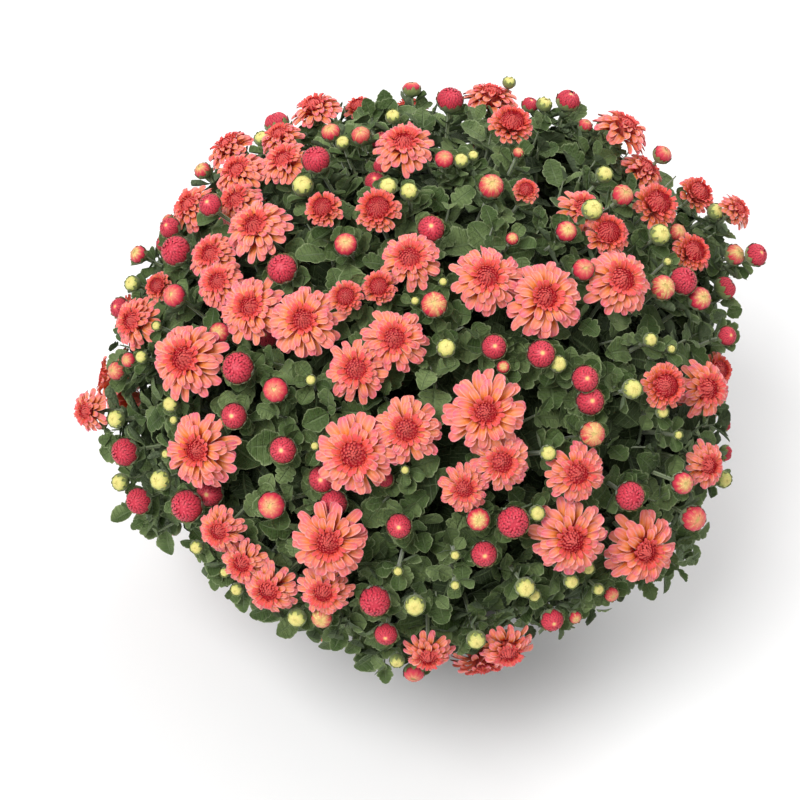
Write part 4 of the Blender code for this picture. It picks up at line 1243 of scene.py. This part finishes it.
def calyx_scales(egg, rng, reach):
    """Scales of a calyx in two rounds about the lower part of a head's egg, in head space."""
    number = np.arange(CALYX_SCALES)
    inner = number >= CALYX_SCALES / 2
    azimuths = number * 2 * math.pi / CALYX_SCALES * 2 + inner * math.pi / CALYX_SCALES * 2
    starts = np.full(CALYX_SCALES, math.radians(CALYX_ROOT))
    ends = np.radians(np.where(inner, 180 - 180 * reach, 180 - 160 * reach))
    ends = ends + rng.normal(0, SCALE_STRAY, CALYX_SCALES)
    spans = np.full(CALYX_SCALES, SCALE_LAP * 2 * math.pi / CALYX_SCALES)
    return egg_scales(egg, azimuths, starts, ends, spans, SCALE_LIFT, 3, 2, rng)


def set_on(head, shapes, material):
    """Parts of a head's shapes, which were made upright at the origin, at its seat and along its axis."""
    upright = head.axis.to_track_quat("Z", "Y").to_matrix().to_4x4()
    turn = Matrix.Rotation(head.turn * 2 * math.pi, 4, "Z")
    place = np.array(Matrix.Translation(head.seat) @ upright @ turn)
    spin, seat = place[:3, :3].T, place[:3, 3]
    return [(points @ spin + seat, faces, values, material) for points, faces, values in shapes]


CALYX_SCALE = scale_material()
calyx_rng = np.random.default_rng(8)
calyx_parts, bracts = ([[] for _ in AXES] for _ in range(2))
for head, own, path in STALKS:
    egg = Egg(*(head.width * share for share in CALYX_EGG))
    if head.kind in ("bloom", "young"):
        egg = Egg(*OPEN_CALYX, 0.0)
    calyx_parts[own] += set_on(head, [calyx_scales(egg, calyx_rng, CALYX_REACH[head.kind])], 0)
    for leaf in shoot_leaves(path, BRACT_SPOTS[head.kind], calyx_rng):
        bracts[own].append(leaf._replace(curl=SPOON_CURL, fold=SPOON_FOLD, lobing=UNLOBED))
for own, node in enumerate(STEM_NODES):
    spoons = blades(bracts[own], SPOON_ROWS, SPOON_COLUMNS, SPOON_CUP, calyx_rng)
    cups = mesh_of(f"bracts_of_{node}", [spoons], [LEAF_SKIN])
    calyxes = mesh_of(f"calyxes_of_{node}", calyx_parts[own], [CALYX_SCALE])
    for piece in (cups, calyxes):
        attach(piece, "root")
        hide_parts(node)


# Petals
# Soft, slightly translucent petals with fine grooves along them: orange-gold at the root, peach over
# the middle and pink at the rounded tip. The younger a petal is, the deeper its crimson. Painted shade
# darkens the grooves and the very root to scarlet, and a pale rim along the ridge and edges is painted
# highlight, on the edges partly the petal's own pale pink.

PETAL_GOLD = (0.94, 0.370, 0.045, 1)
PETAL_PEACH = (0.95, 0.365, 0.125, 1)
PETAL_PINK = (0.83, 0.175, 0.290, 1)
# A pale pink, partly the petals' own rim colour and partly painted highlight.
PETAL_EDGE_AND_HIGHLIGHT = (0.94, 0.450, 0.460, 1)
# Scarlet is the own colour of deep-coloured petals, and is also painted as shade at petal roots and in
# grooves.
PETAL_SCARLET_AND_SHADE = (0.78, 0.085, 0.045, 1)
PETAL_CRIMSON = (0.80, 0.030, 0.052, 1)
# The dark crimson low on florets and on the button's core is painted shade.
PETAL_DEEP_SHADE = (0.40, 0.008, 0.020, 1)
PETAL_BACK = (0.86, 0.190, 0.150, 1)
# The light tint on floret tips and edges is a painted highlight.
FLORET_HIGHLIGHT = (0.87, 0.110, 0.125, 1)


def streaks(tree, along, across, tone):
    """Fine uneven streaks that run along a petal, from 0 to 1, from its own values."""
    inputs = {"X": across * 3.0, "Y": along * 0.8, "Z": tone * 60.0}
    return noise(tree, node_value(tree, "ShaderNodeCombineXYZ", 0, inputs), 1.6, 4.0)


STREAKS = new_group("streaks", ("Along", "Across", "Tone"), "Streaks", streaks)


def petal_values(skin):
    """The values on a petal's mesh, and the streaks along it."""
    along, across, tone, age, gold = skin.read("along", "across", "tone", "age", "gold")
    inputs = {"Along": along, "Across": across, "Tone": tone}
    grain = node_value(skin.tree, "ShaderNodeGroup", "Streaks", inputs, node_tree=STREAKS)
    return along, abs(across), tone, age, gold, grain


def petal_material():
    """Coral petals. age goes from 0, fully open, to 1, a curled floret, and gold is how scarlet one is."""
    fixed = {"Roughness": 0.52, "Specular_IOR_Level": 0.30}
    skin = Skin("coral_petal", **fixed, Subsurface_Weight=0.25, Subsurface_Scale=0.003)
    along, side, tone, age, gold, grain = petal_values(skin)
    # Scarlet at the very root of a petal is painted shade where the petals overlap.
    root = along.stretch(0.30, 0.55).mix(PETAL_SCARLET_AND_SHADE, PETAL_GOLD)
    low = along.stretch(0.55, 0.78).mix(root, PETAL_PEACH)
    drift = along + grain.stretch(0, 1, -0.22, 0.16)
    blush = drift.stretch(0.62, 0.96) * tone.stretch(0, 1, 0.5, 1.0)
    # The fold lines of a petal are darkened to scarlet: painted shade.
    groove = side.stretch(0.15, 0.5) * side.stretch(0.5, 0.8, 1, 0)
    # The middle line of a petal is lightened: painted highlight.
    ridge_highlight = side.stretch(0.0, 0.22, 0.28, 0) * along.stretch(0.3, 0.6)
    opened = ridge_highlight.mix((groove * 0.22).mix(blush.mix(low, PETAL_PINK), PETAL_SCARLET_AND_SHADE), PETAL_EDGE_AND_HIGHLIGHT)
    # The edges are lightened, partly the petal's own pale pink rim and partly painted highlight.
    edge = side.stretch(0.66, 1.0, 0, 0.75)
    warmed = gold.mix(edge.mix(opened, PETAL_EDGE_AND_HIGHLIGHT), edge.mix(PETAL_SCARLET_AND_SHADE, PETAL_EDGE_AND_HIGHLIGHT))
    # A floret is darkened at its root, as painted shade between florets, and is crimson further up.
    curled = along.stretch(0.0, 0.5).mix(PETAL_DEEP_SHADE, PETAL_CRIMSON)
    # Its tip and edges are lightened: painted highlight.
    lit = along.stretch(0.82, 1.0, 0, 0.60).or_more(side.stretch(0.6, 1.0, 0, 0.40))
    aged = age.stretch(0.05, 0.85).mix(warmed, lit.mix(curled, FLORET_HIGHLIGHT))
    shade = grain.stretch(0, 1, 0.30, 0.0) * tone.stretch(0, 1, 0.4, 1.0)
    streaked = shade.mix(aged, PETAL_CRIMSON)
    skin.feed("Base Color", (skin.behind() * 0.6).mix(streaked, PETAL_BACK))
    skin.raise_surface(grain, 0.0004, 0.5)
    return skin.material


PETAL = petal_material()


# Closed heads
# Crimson balls of tightly packed florets, pink buds whose petals lap over each other and go yellow at
# the dimple in their top, and small green buds. Each sits in its calyx at the end of its stalk.

# The half width, rise and middle of a closed head's inside, as shares of the head's width.
CLOSED_EGG = (0.475, 0.44, 0.45)
BALL_FLORETS = 160
BALL_LOWEST = -0.3
# Balls thinner than this, by their half width, still show yellow in the dimple, and how wide it opens.
TIGHT_BALL = 0.0068
DIMPLE_EDGE = math.radians(10)
FLORET_LENGTH = math.radians(34)
FLORET_SPAN = 0.103
FLORET_LIFT = np.array((0.0, 0.075, 0.060))
FLORET_WIDTHS = (0.88, 1.12)
FLORET_STRAY = 0.03
FLORET_BLUNT = 0.62
FLORET_DOME = 0.9
FLORET_AGES = 0.12
BUD_PETALS = 18
GREEN_PETALS = 14
# Angles from the top, in degrees: where a bud's petals start, and where the outer and inner ones end.
BUD_ROOT = 118
BUD_TIPS = (24.0, 9.0)
BUD_SPAN = 1.62
BUD_LIFT = np.array((0.0, 0.13, 0.055))
BUD_BLUNT = 0.42
# How far a pink bud has coloured, and how yellow its tips are. A green bud is at one stage, all yellow.
BUD_STAGES = (0.50, 0.95)
BUD_YELLOWS = (0.3, 1.0)
GREEN_STAGE = 0.05
STAGE_STRAY = 0.07
CORE_SIDES = 10
CORE_ANGLES = np.radians((177, 152, 127, 102, 77, 52, 15, 4))
CORE_SHARE = 0.94
BUD_CREAM = (0.86, 0.74, 0.24, 1)
BUD_GREEN = (0.38, 0.50, 0.12, 1)
# Dark olive, painted as shade where a bud's petals lap.
BUD_SEAM_SHADE = (0.20, 0.20, 0.045, 1)
BALL_PINK = (0.68, 0.027, 0.066, 1)
# A light pink, for the florets' own streaks and for painted highlights.
BALL_STREAK_AND_HIGHLIGHT = (0.86, 0.140, 0.165, 1)
# Near-black red, painted as shade in the gaps between florets.
BALL_GAP_SHADE = (0.17, 0.004, 0.014, 1)


def closed_material():
    """Petals still folded. age goes from 0, green and cream, to 1, all crimson, and gold is a yellow tip.
    Painted shade darkens the gaps between florets and the seams of young buds, and a painted highlight
    lightens edges and tips.
    """
    skin = Skin("folded_petal", Roughness=0.48, Specular_IOR_Level=0.35, Sheen_Weight=0.08)
    along, side, tone, age, gold, grain = petal_values(skin)
    ground = along.stretch(0.35, 0.95).mix(BUD_GREEN, BUD_CREAM)
    patchy = age * 1.9 - grain.stretch(0, 1, 0.0, 0.85)
    pale_tip = gold * along.stretch(0.62, 1.0)
    flush = patchy.stretch(0.0, 0.7) * pale_tip.stretch(0, 1, 1, 0)
    streaked = grain.stretch(0.45, 1.0, 0, 0.55).mix(BALL_PINK, BALL_STREAK_AND_HIGHLIGHT)
    # The edges and tips of folded petals and florets are lightened: painted highlight.
    light = side.stretch(0.55, 1.0, 0, 0.30).or_more(along.stretch(0.75, 1.0, 0, 0.7))
    flushed = flush.mix(ground, light.mix(streaked, BALL_STREAK_AND_HIGHLIGHT))
    # The lower part of each floret is darkened: painted shade in the gaps between them.
    gap_shade = along.stretch(0.20, 0.62, 0.75, 0) * age.stretch(0.5, 0.9)
    low = along.stretch(0.55, 0.9, 0.85, 0.1)
    # Low along the edges of a young bud's petals, a dark line is painted as shade where they lap.
    seam_shade = side.stretch(0.5, 1.0) * low * age.stretch(0.0, 0.9, 1, 0)
    skin.feed("Base Color", seam_shade.mix(gap_shade.mix(flushed, BALL_GAP_SHADE), BUD_SEAM_SHADE))
    skin.raise_surface(grain, 0.0003, 0.5)
    return skin.material


def core_part(profile, sides, along, age, gold):
    """The closed inside of a head, which shows only between its petals. Its values are the same all over."""
    points, faces = turned(profile, sides)
    flat = {"along": along, "across": 0.0, "tone": 0.5, "age": age, "gold": gold}
    return points, faces, {key: np.full(len(points), value) for key, value in flat.items()}


def egg_core(egg, along, age, gold):
    profile = []
    for a in CORE_ANGLES:
        height = egg.middle + egg.rise * CORE_SHARE * math.cos(a) - sunk(egg, a)
        profile.append((egg.radius * math.sin(a) * CORE_SHARE, height))
    return core_part(profile, CORE_SIDES, along, age, gold)


def with_stage(scales, ages, golds):
    """Scales with each one's age and gold spread over its points."""
    points, faces, values = scales
    each = len(points) // len(ages)
    return points, faces, {**values, "age": np.repeat(ages, each), "gold": np.repeat(golds, each)}


def ball_shapes(egg, rng):
    """Narrow florets in a spiral over the head, their tips turned in to the dimple at its top."""
    number = np.arange(BALL_FLORETS)
    height = 1 - (1 - BALL_LOWEST) * (number + 0.35) / BALL_FLORETS
    tight = egg.radius < TIGHT_BALL
    ends = np.maximum(np.arccos(height) * 0.97, DIMPLE_EDGE * tight)
    starts = ends + FLORET_LENGTH
    spans = FLORET_SPAN * rng.uniform(*FLORET_WIDTHS, BALL_FLORETS)
    lift = FLORET_LIFT * egg.radius
    azimuths = number * GOLDEN_ANGLE + rng.normal(0, FLORET_STRAY, BALL_FLORETS)
    florets = egg_scales(egg, azimuths, starts, ends, spans, lift, 2, 2, rng, FLORET_BLUNT, FLORET_DOME)
    ages = 1 - FLORET_AGES * rng.random(BALL_FLORETS)
    points, faces, values = egg_core(egg, 0.95 if tight else 0.5, 1.0, 0.0)
    middle = (np.hypot(points[:, 0], points[:, 1]) < 0.2 * egg.radius) & (points[:, 2] > egg.middle)
    core = points, faces, {**values, "gold": 0.9 * tight * middle}
    return [core, with_stage(florets, ages, 0 * ages)]


def bud_shapes(egg, rng, green):
    """Petals that lap over the bud from its calyx to the dimple at its top, in two rounds."""
    count = GREEN_PETALS if green else BUD_PETALS
    number = np.arange(count)
    outer = number >= count // 2
    azimuths = (number + 0.5 * outer) * 4 * math.pi / count + rng.normal(0, 0.05, count)
    ends = np.radians(np.where(outer, *BUD_TIPS) + rng.normal(0, 2.5, count))
    starts = np.full(count, math.radians(BUD_ROOT))
    spans = BUD_SPAN * math.pi / count * rng.uniform(0.9, 1.1, count)
    lift = BUD_LIFT * egg.radius
    petals = egg_scales(egg, azimuths, starts, ends, spans, lift, 4, 3, rng, BUD_BLUNT)
    stage = GREEN_STAGE if green else rng.uniform(*BUD_STAGES)
    yellow = 1.0 if green else rng.uniform(*BUD_YELLOWS)
    ages = np.clip(stage + rng.normal(0, STAGE_STRAY, count), 0, 1)
    golds = np.clip(yellow * rng.uniform(0.75, 1.1, count), 0, 1)
    return [egg_core(egg, 0.8, GREEN_STAGE if green else 0.35, 0.6), with_stage(petals, ages, golds)]


FOLDED = closed_material()
closed_rng = np.random.default_rng(9)
small_parts = [[] for _ in AXES]
for head, own, path in STALKS:
    egg = Egg(*(head.width * share for share in CLOSED_EGG))
    if head.kind == "ball":
        small_parts[own] += set_on(head, ball_shapes(egg, closed_rng), 1)
    elif head.kind in ("bud", "green"):
        small_parts[own] += set_on(head, bud_shapes(egg, closed_rng, head.kind == "green"), 1)


# Open and half-open heads
# A bloom is a low dome. Its blunt finger-like petals come up from the small calyx in rounds and arch over
# each other, the outer ones nearly flat, about a button of curled crimson florets. A half-open head is a
# tighter dome of narrower, deeper coloured petals about a larger button.

PETAL_ROWS = np.array([0, 0.22, 0.45, 0.66, 0.82, 0.92, 0.975, 1.0])
PETAL_HALF = np.array([0.30, 0.50, 0.78, 0.95, 1.0, 0.90, 0.62, 0.28])
PETAL_COLUMNS = np.array([-1, -0.5, 0, 0.5, 1])
COLLAR_COLUMNS = np.array([-1, 0, 1])
ALL_ROWS = np.arange(8)
COLLAR_ROWS = np.array([0, 3, 5, 7])
GROOVE_DEPTH = 0.16
# How much the petals of a round differ in angle, length, width, twist and sway, and in how cupped they are.
ANGLE_STRAY = 0.18
LENGTH_STRAY = 0.055
WIDTH_STRAY = 0.07
TWIST_STRAY = 0.17
SWAY_STRAY = 0.09
CUP_RANGE = (0.3, 1.7)
DISC_RADIUS = 0.0080
DISC_RANGE = (0.85, 1.10)
DISC_MOST = 0.48
DISC_EDGE = 0.20
WARMTH = 0.16
BUTTON_TOP = 0.80
BUTTON_FLORETS = 84
# The button of a half-open head: its width, edge and top as shares of the head's radius, and its florets.
YOUNG_BUTTON = (0.60, 1.00, 1.20)
YOUNG_FLORETS = 130
COLLAR_PETALS = 20
BUTTON_SIDES = 14
# How high a bloom's eye is over its seat, by the bloom's width.
EYE_SHARE = 0.37

# A round of petals: how many, then root, bend and tip as shares of the head's radius, out and up.
Round = namedtuple("Round", "petals root bend tip width cup age gold")
BLOOM_ROUNDS = (
    Round(14, (0.14, 0.04), (0.58, 0.44), (1.00, 0.13), 0.285, 0.26, 0.00, 0.00),
    Round(13, (0.13, 0.08), (0.54, 0.60), (0.94, 0.30), 0.280, 0.28, 0.00, 0.00),
    Round(12, (0.12, 0.12), (0.46, 0.76), (0.82, 0.48), 0.260, 0.32, 0.00, 0.02),
    Round(12, (0.11, 0.18), (0.35, 0.87), (0.67, 0.65), 0.215, 0.40, 0.05, 0.08),
)
YOUNG_ROUNDS = (
    Round(15, (0.14, 0.06), (0.80, 0.66), (1.04, 0.46), 0.30, 0.28, 0.00, 0.10),
    Round(16, (0.14, 0.10), (0.78, 0.82), (0.94, 0.68), 0.27, 0.30, 0.10, 0.20),
    Round(17, (0.13, 0.16), (0.72, 0.98), (0.84, 0.88), 0.23, 0.34, 0.28, 0.30),
    Round(17, (0.13, 0.24), (0.62, 1.10), (0.71, 1.04), 0.20, 0.38, 0.52, 0.30),
)


def turned_out(out, across, rise, turn):
    """Points from how far they are out, across and up, once turned about the Z axis."""
    x = out * np.cos(turn) - across * np.sin(turn)
    y = out * np.sin(turn) + across * np.cos(turn)
    return np.stack([x, y, rise], -1)


def petal_round(ring, radius, rng, disc=0.0, lean=0.05, rows=ALL_ROWS, columns=PETAL_COLUMNS):
    """One round of petals, in head space. None of its tips falls short of the button's edge."""
    count = ring.petals
    angle = (np.arange(count) + rng.normal(0, ANGLE_STRAY, count) + rng.random()) * 2 * math.pi / count
    length = rng.normal(1, LENGTH_STRAY, count)
    line = np.array([ring.root, ring.bend, ring.tip])[None] * np.ones((count, 1, 1))
    line[:, 2, 0] = np.maximum(ring.tip[0], disc + 0.04) * length
    line[:, 2, 1] += rng.normal(0, lean, count) * line[:, 2, 0]
    line[:, 1, 1] += rng.normal(0, 0.4 * lean, count)
    share = PETAL_ROWS[rows][None, :, None]
    middle = (1 - share) ** 2 * line[:, None, 0] + 2 * share * (1 - share) * line[:, None, 1]
    middle = middle + share ** 2 * line[:, None, 2]
    ahead = unit(np.gradient(middle, axis=1))
    half = (PETAL_HALF[rows] * ring.width / 2)[None, :, None] * rng.normal(1, WIDTH_STRAY, (count, 1, 1))
    side = columns[None, None, :]
    cup = ring.cup * rng.uniform(*CUP_RANGE, (count, 1, 1))
    folds = GROOVE_DEPTH * (1 - np.cos(2 * math.pi * side)) / 2
    stand = half * (cup * side ** 2 - folds) * np.minimum(1, 2.2 * share)
    twist = rng.normal(0, TWIST_STRAY, (count, 1, 1)) * share
    stand = stand + side * half * np.sin(twist)
    sway = rng.normal(0, SWAY_STRAY, (count, 1, 1)) * share ** 2 * ring.tip[0]
    across = side * half * np.cos(twist) + sway
    out = middle[..., 0, None] - ahead[..., 1, None] * stand
    rise = middle[..., 1, None] + ahead[..., 0, None] * stand
    points = turned_out(out, across, rise, angle[:, None, None]) * radius
    given = {"tone": rng.random((count, 1, 1)), "age": ring.age, "gold": ring.gold}
    return outward(many_grids(points, along=share, across=side, **given))


def button_florets(radius, disc, edge, top, rng, count=BUTTON_FLORETS):
    """Curled florets in a spiral over the button in the middle of a head, in head space."""
    number = np.arange(count)
    share = np.sqrt((number + 0.5) / count)
    far = (share * disc)[:, None, None]
    dome = (top - (top - edge) * share ** 2)[:, None, None]
    along = np.array([0, 0.4, 0.75, 1])[None, :, None]
    side = np.array([-1.0, 0.0, 1.0])[None, None, :]
    length = (0.11 + 0.07 * share)[:, None, None] * min(disc, 0.44) / 0.4
    spread = 0.72 * disc / math.sqrt(count)
    half = spread * rng.uniform(0.85, 1.15, (count, 1, 1)) * np.interp(along, (0, 0.6, 1), (0.7, 1, 0.55))
    lean = np.interp(share, (0, 1), (-0.25, 0.35))[:, None, None]
    curl = -0.75 * along ** 2
    out = far + length * (lean * along + curl * 0.6 - 0.05)
    rise = dome + length * (along - 0.85) * 0.8 + 0.5 * half * side ** 2
    turn = (number * GOLDEN_ANGLE + rng.normal(0, 0.08, count))[:, None, None]
    age = np.interp(share, (0, 0.8, 1), (1.0, 0.90, 0.80))[:, None, None]
    points = turned_out(out, side * half, rise, turn) * radius
    given = {"tone": rng.random((count, 1, 1)), "age": age, "gold": 0.0}
    return outward(many_grids(points, along=along, across=side, **given))


def button_core(radius, disc, edge, top):
    """The dome under the florets, which closes the head down to its calyx. Its dark crimson, seen between
    the florets, is painted shade.
    """
    profile = [(0.10, 0.01), (0.12, edge * 0.6), (disc * 0.92, edge - 0.10)]
    profile.extend([(disc * 0.6, top - 0.14), (0.02, top - 0.09)])
    return core_part([(r * radius, z * radius) for r, z in profile], BUTTON_SIDES, 0.0, 1.0, 0.0)


def bloom_shapes(head, rng):
    """A bloom. Its button is much the same size whatever the bloom's width."""
    radius = head.width / 2
    disc = min(DISC_MOST, DISC_RADIUS / radius * rng.uniform(*DISC_RANGE))
    warmth = rng.uniform(0, WARMTH)
    rounds = [r._replace(gold=r.gold + warmth) for r in BLOOM_ROUNDS if r.tip[0] > disc - 0.02]
    shapes = [petal_round(ring, radius, rng, disc) for ring in rounds]
    edge = BUTTON_TOP - DISC_EDGE * disc
    bend, tip = (0.75 * disc, 0.84), (disc + 0.07, edge + 0.05)
    collar = Round(COLLAR_PETALS, (0.10, 0.24), bend, tip, 0.30 * disc, 0.5, 0.55, 0.4)
    shapes.append(petal_round(collar, radius, rng, disc + 0.03, 0.03, COLLAR_ROWS, COLLAR_COLUMNS))
    shapes.append(button_florets(radius, disc, edge, BUTTON_TOP, rng))
    return [*shapes, button_core(radius, disc, edge, BUTTON_TOP)]


def young_shapes(head, rng):
    """A half-open head."""
    radius = head.width / 2
    shapes = [petal_round(ring, radius, rng, lean=0.03) for ring in YOUNG_ROUNDS]
    shapes.append(button_florets(radius, *YOUNG_BUTTON, rng, YOUNG_FLORETS))
    return [*shapes, button_core(radius, *YOUNG_BUTTON)]


def points_of(node):
    mesh = frame["nodes"][node].data
    found = np.empty(len(mesh.vertices) * 3, np.float32)
    mesh.vertices.foreach_get("co", found)
    return found.reshape(-1, 3)


def bloom_node_of(head):
    """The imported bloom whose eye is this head's."""
    eye = np.array(head.seat + head.axis * EYE_SHARE * head.width)
    return min(BLOOM_POINTS, key=lambda name: np.linalg.norm(BLOOM_POINTS[name] - eye, axis=1).min())


open_rng = np.random.default_rng(10)
BLOOM_POINTS = {name: points_of(name) for name in frame["nodes"] if name.startswith("bloom_")}
bloom_parts = {name: [] for name in BLOOM_POINTS}
for head, own, path in STALKS:
    if head.kind == "bloom":
        bloom_parts[bloom_node_of(head)] += set_on(head, bloom_shapes(head, open_rng), 0)
    elif head.kind == "young":
        small_parts[own] += set_on(head, young_shapes(head, open_rng), 0)
for name, parts in bloom_parts.items():
    bloom = mesh_of(f"petals_of_{name}", parts, [PETAL])
    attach(bloom, "root")
    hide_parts(name)
for own, node in enumerate(STEM_NODES):
    buds = mesh_of(f"buds_of_{node}", small_parts[own], [PETAL, FOLDED])
    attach(buds, "root")
    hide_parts(node)
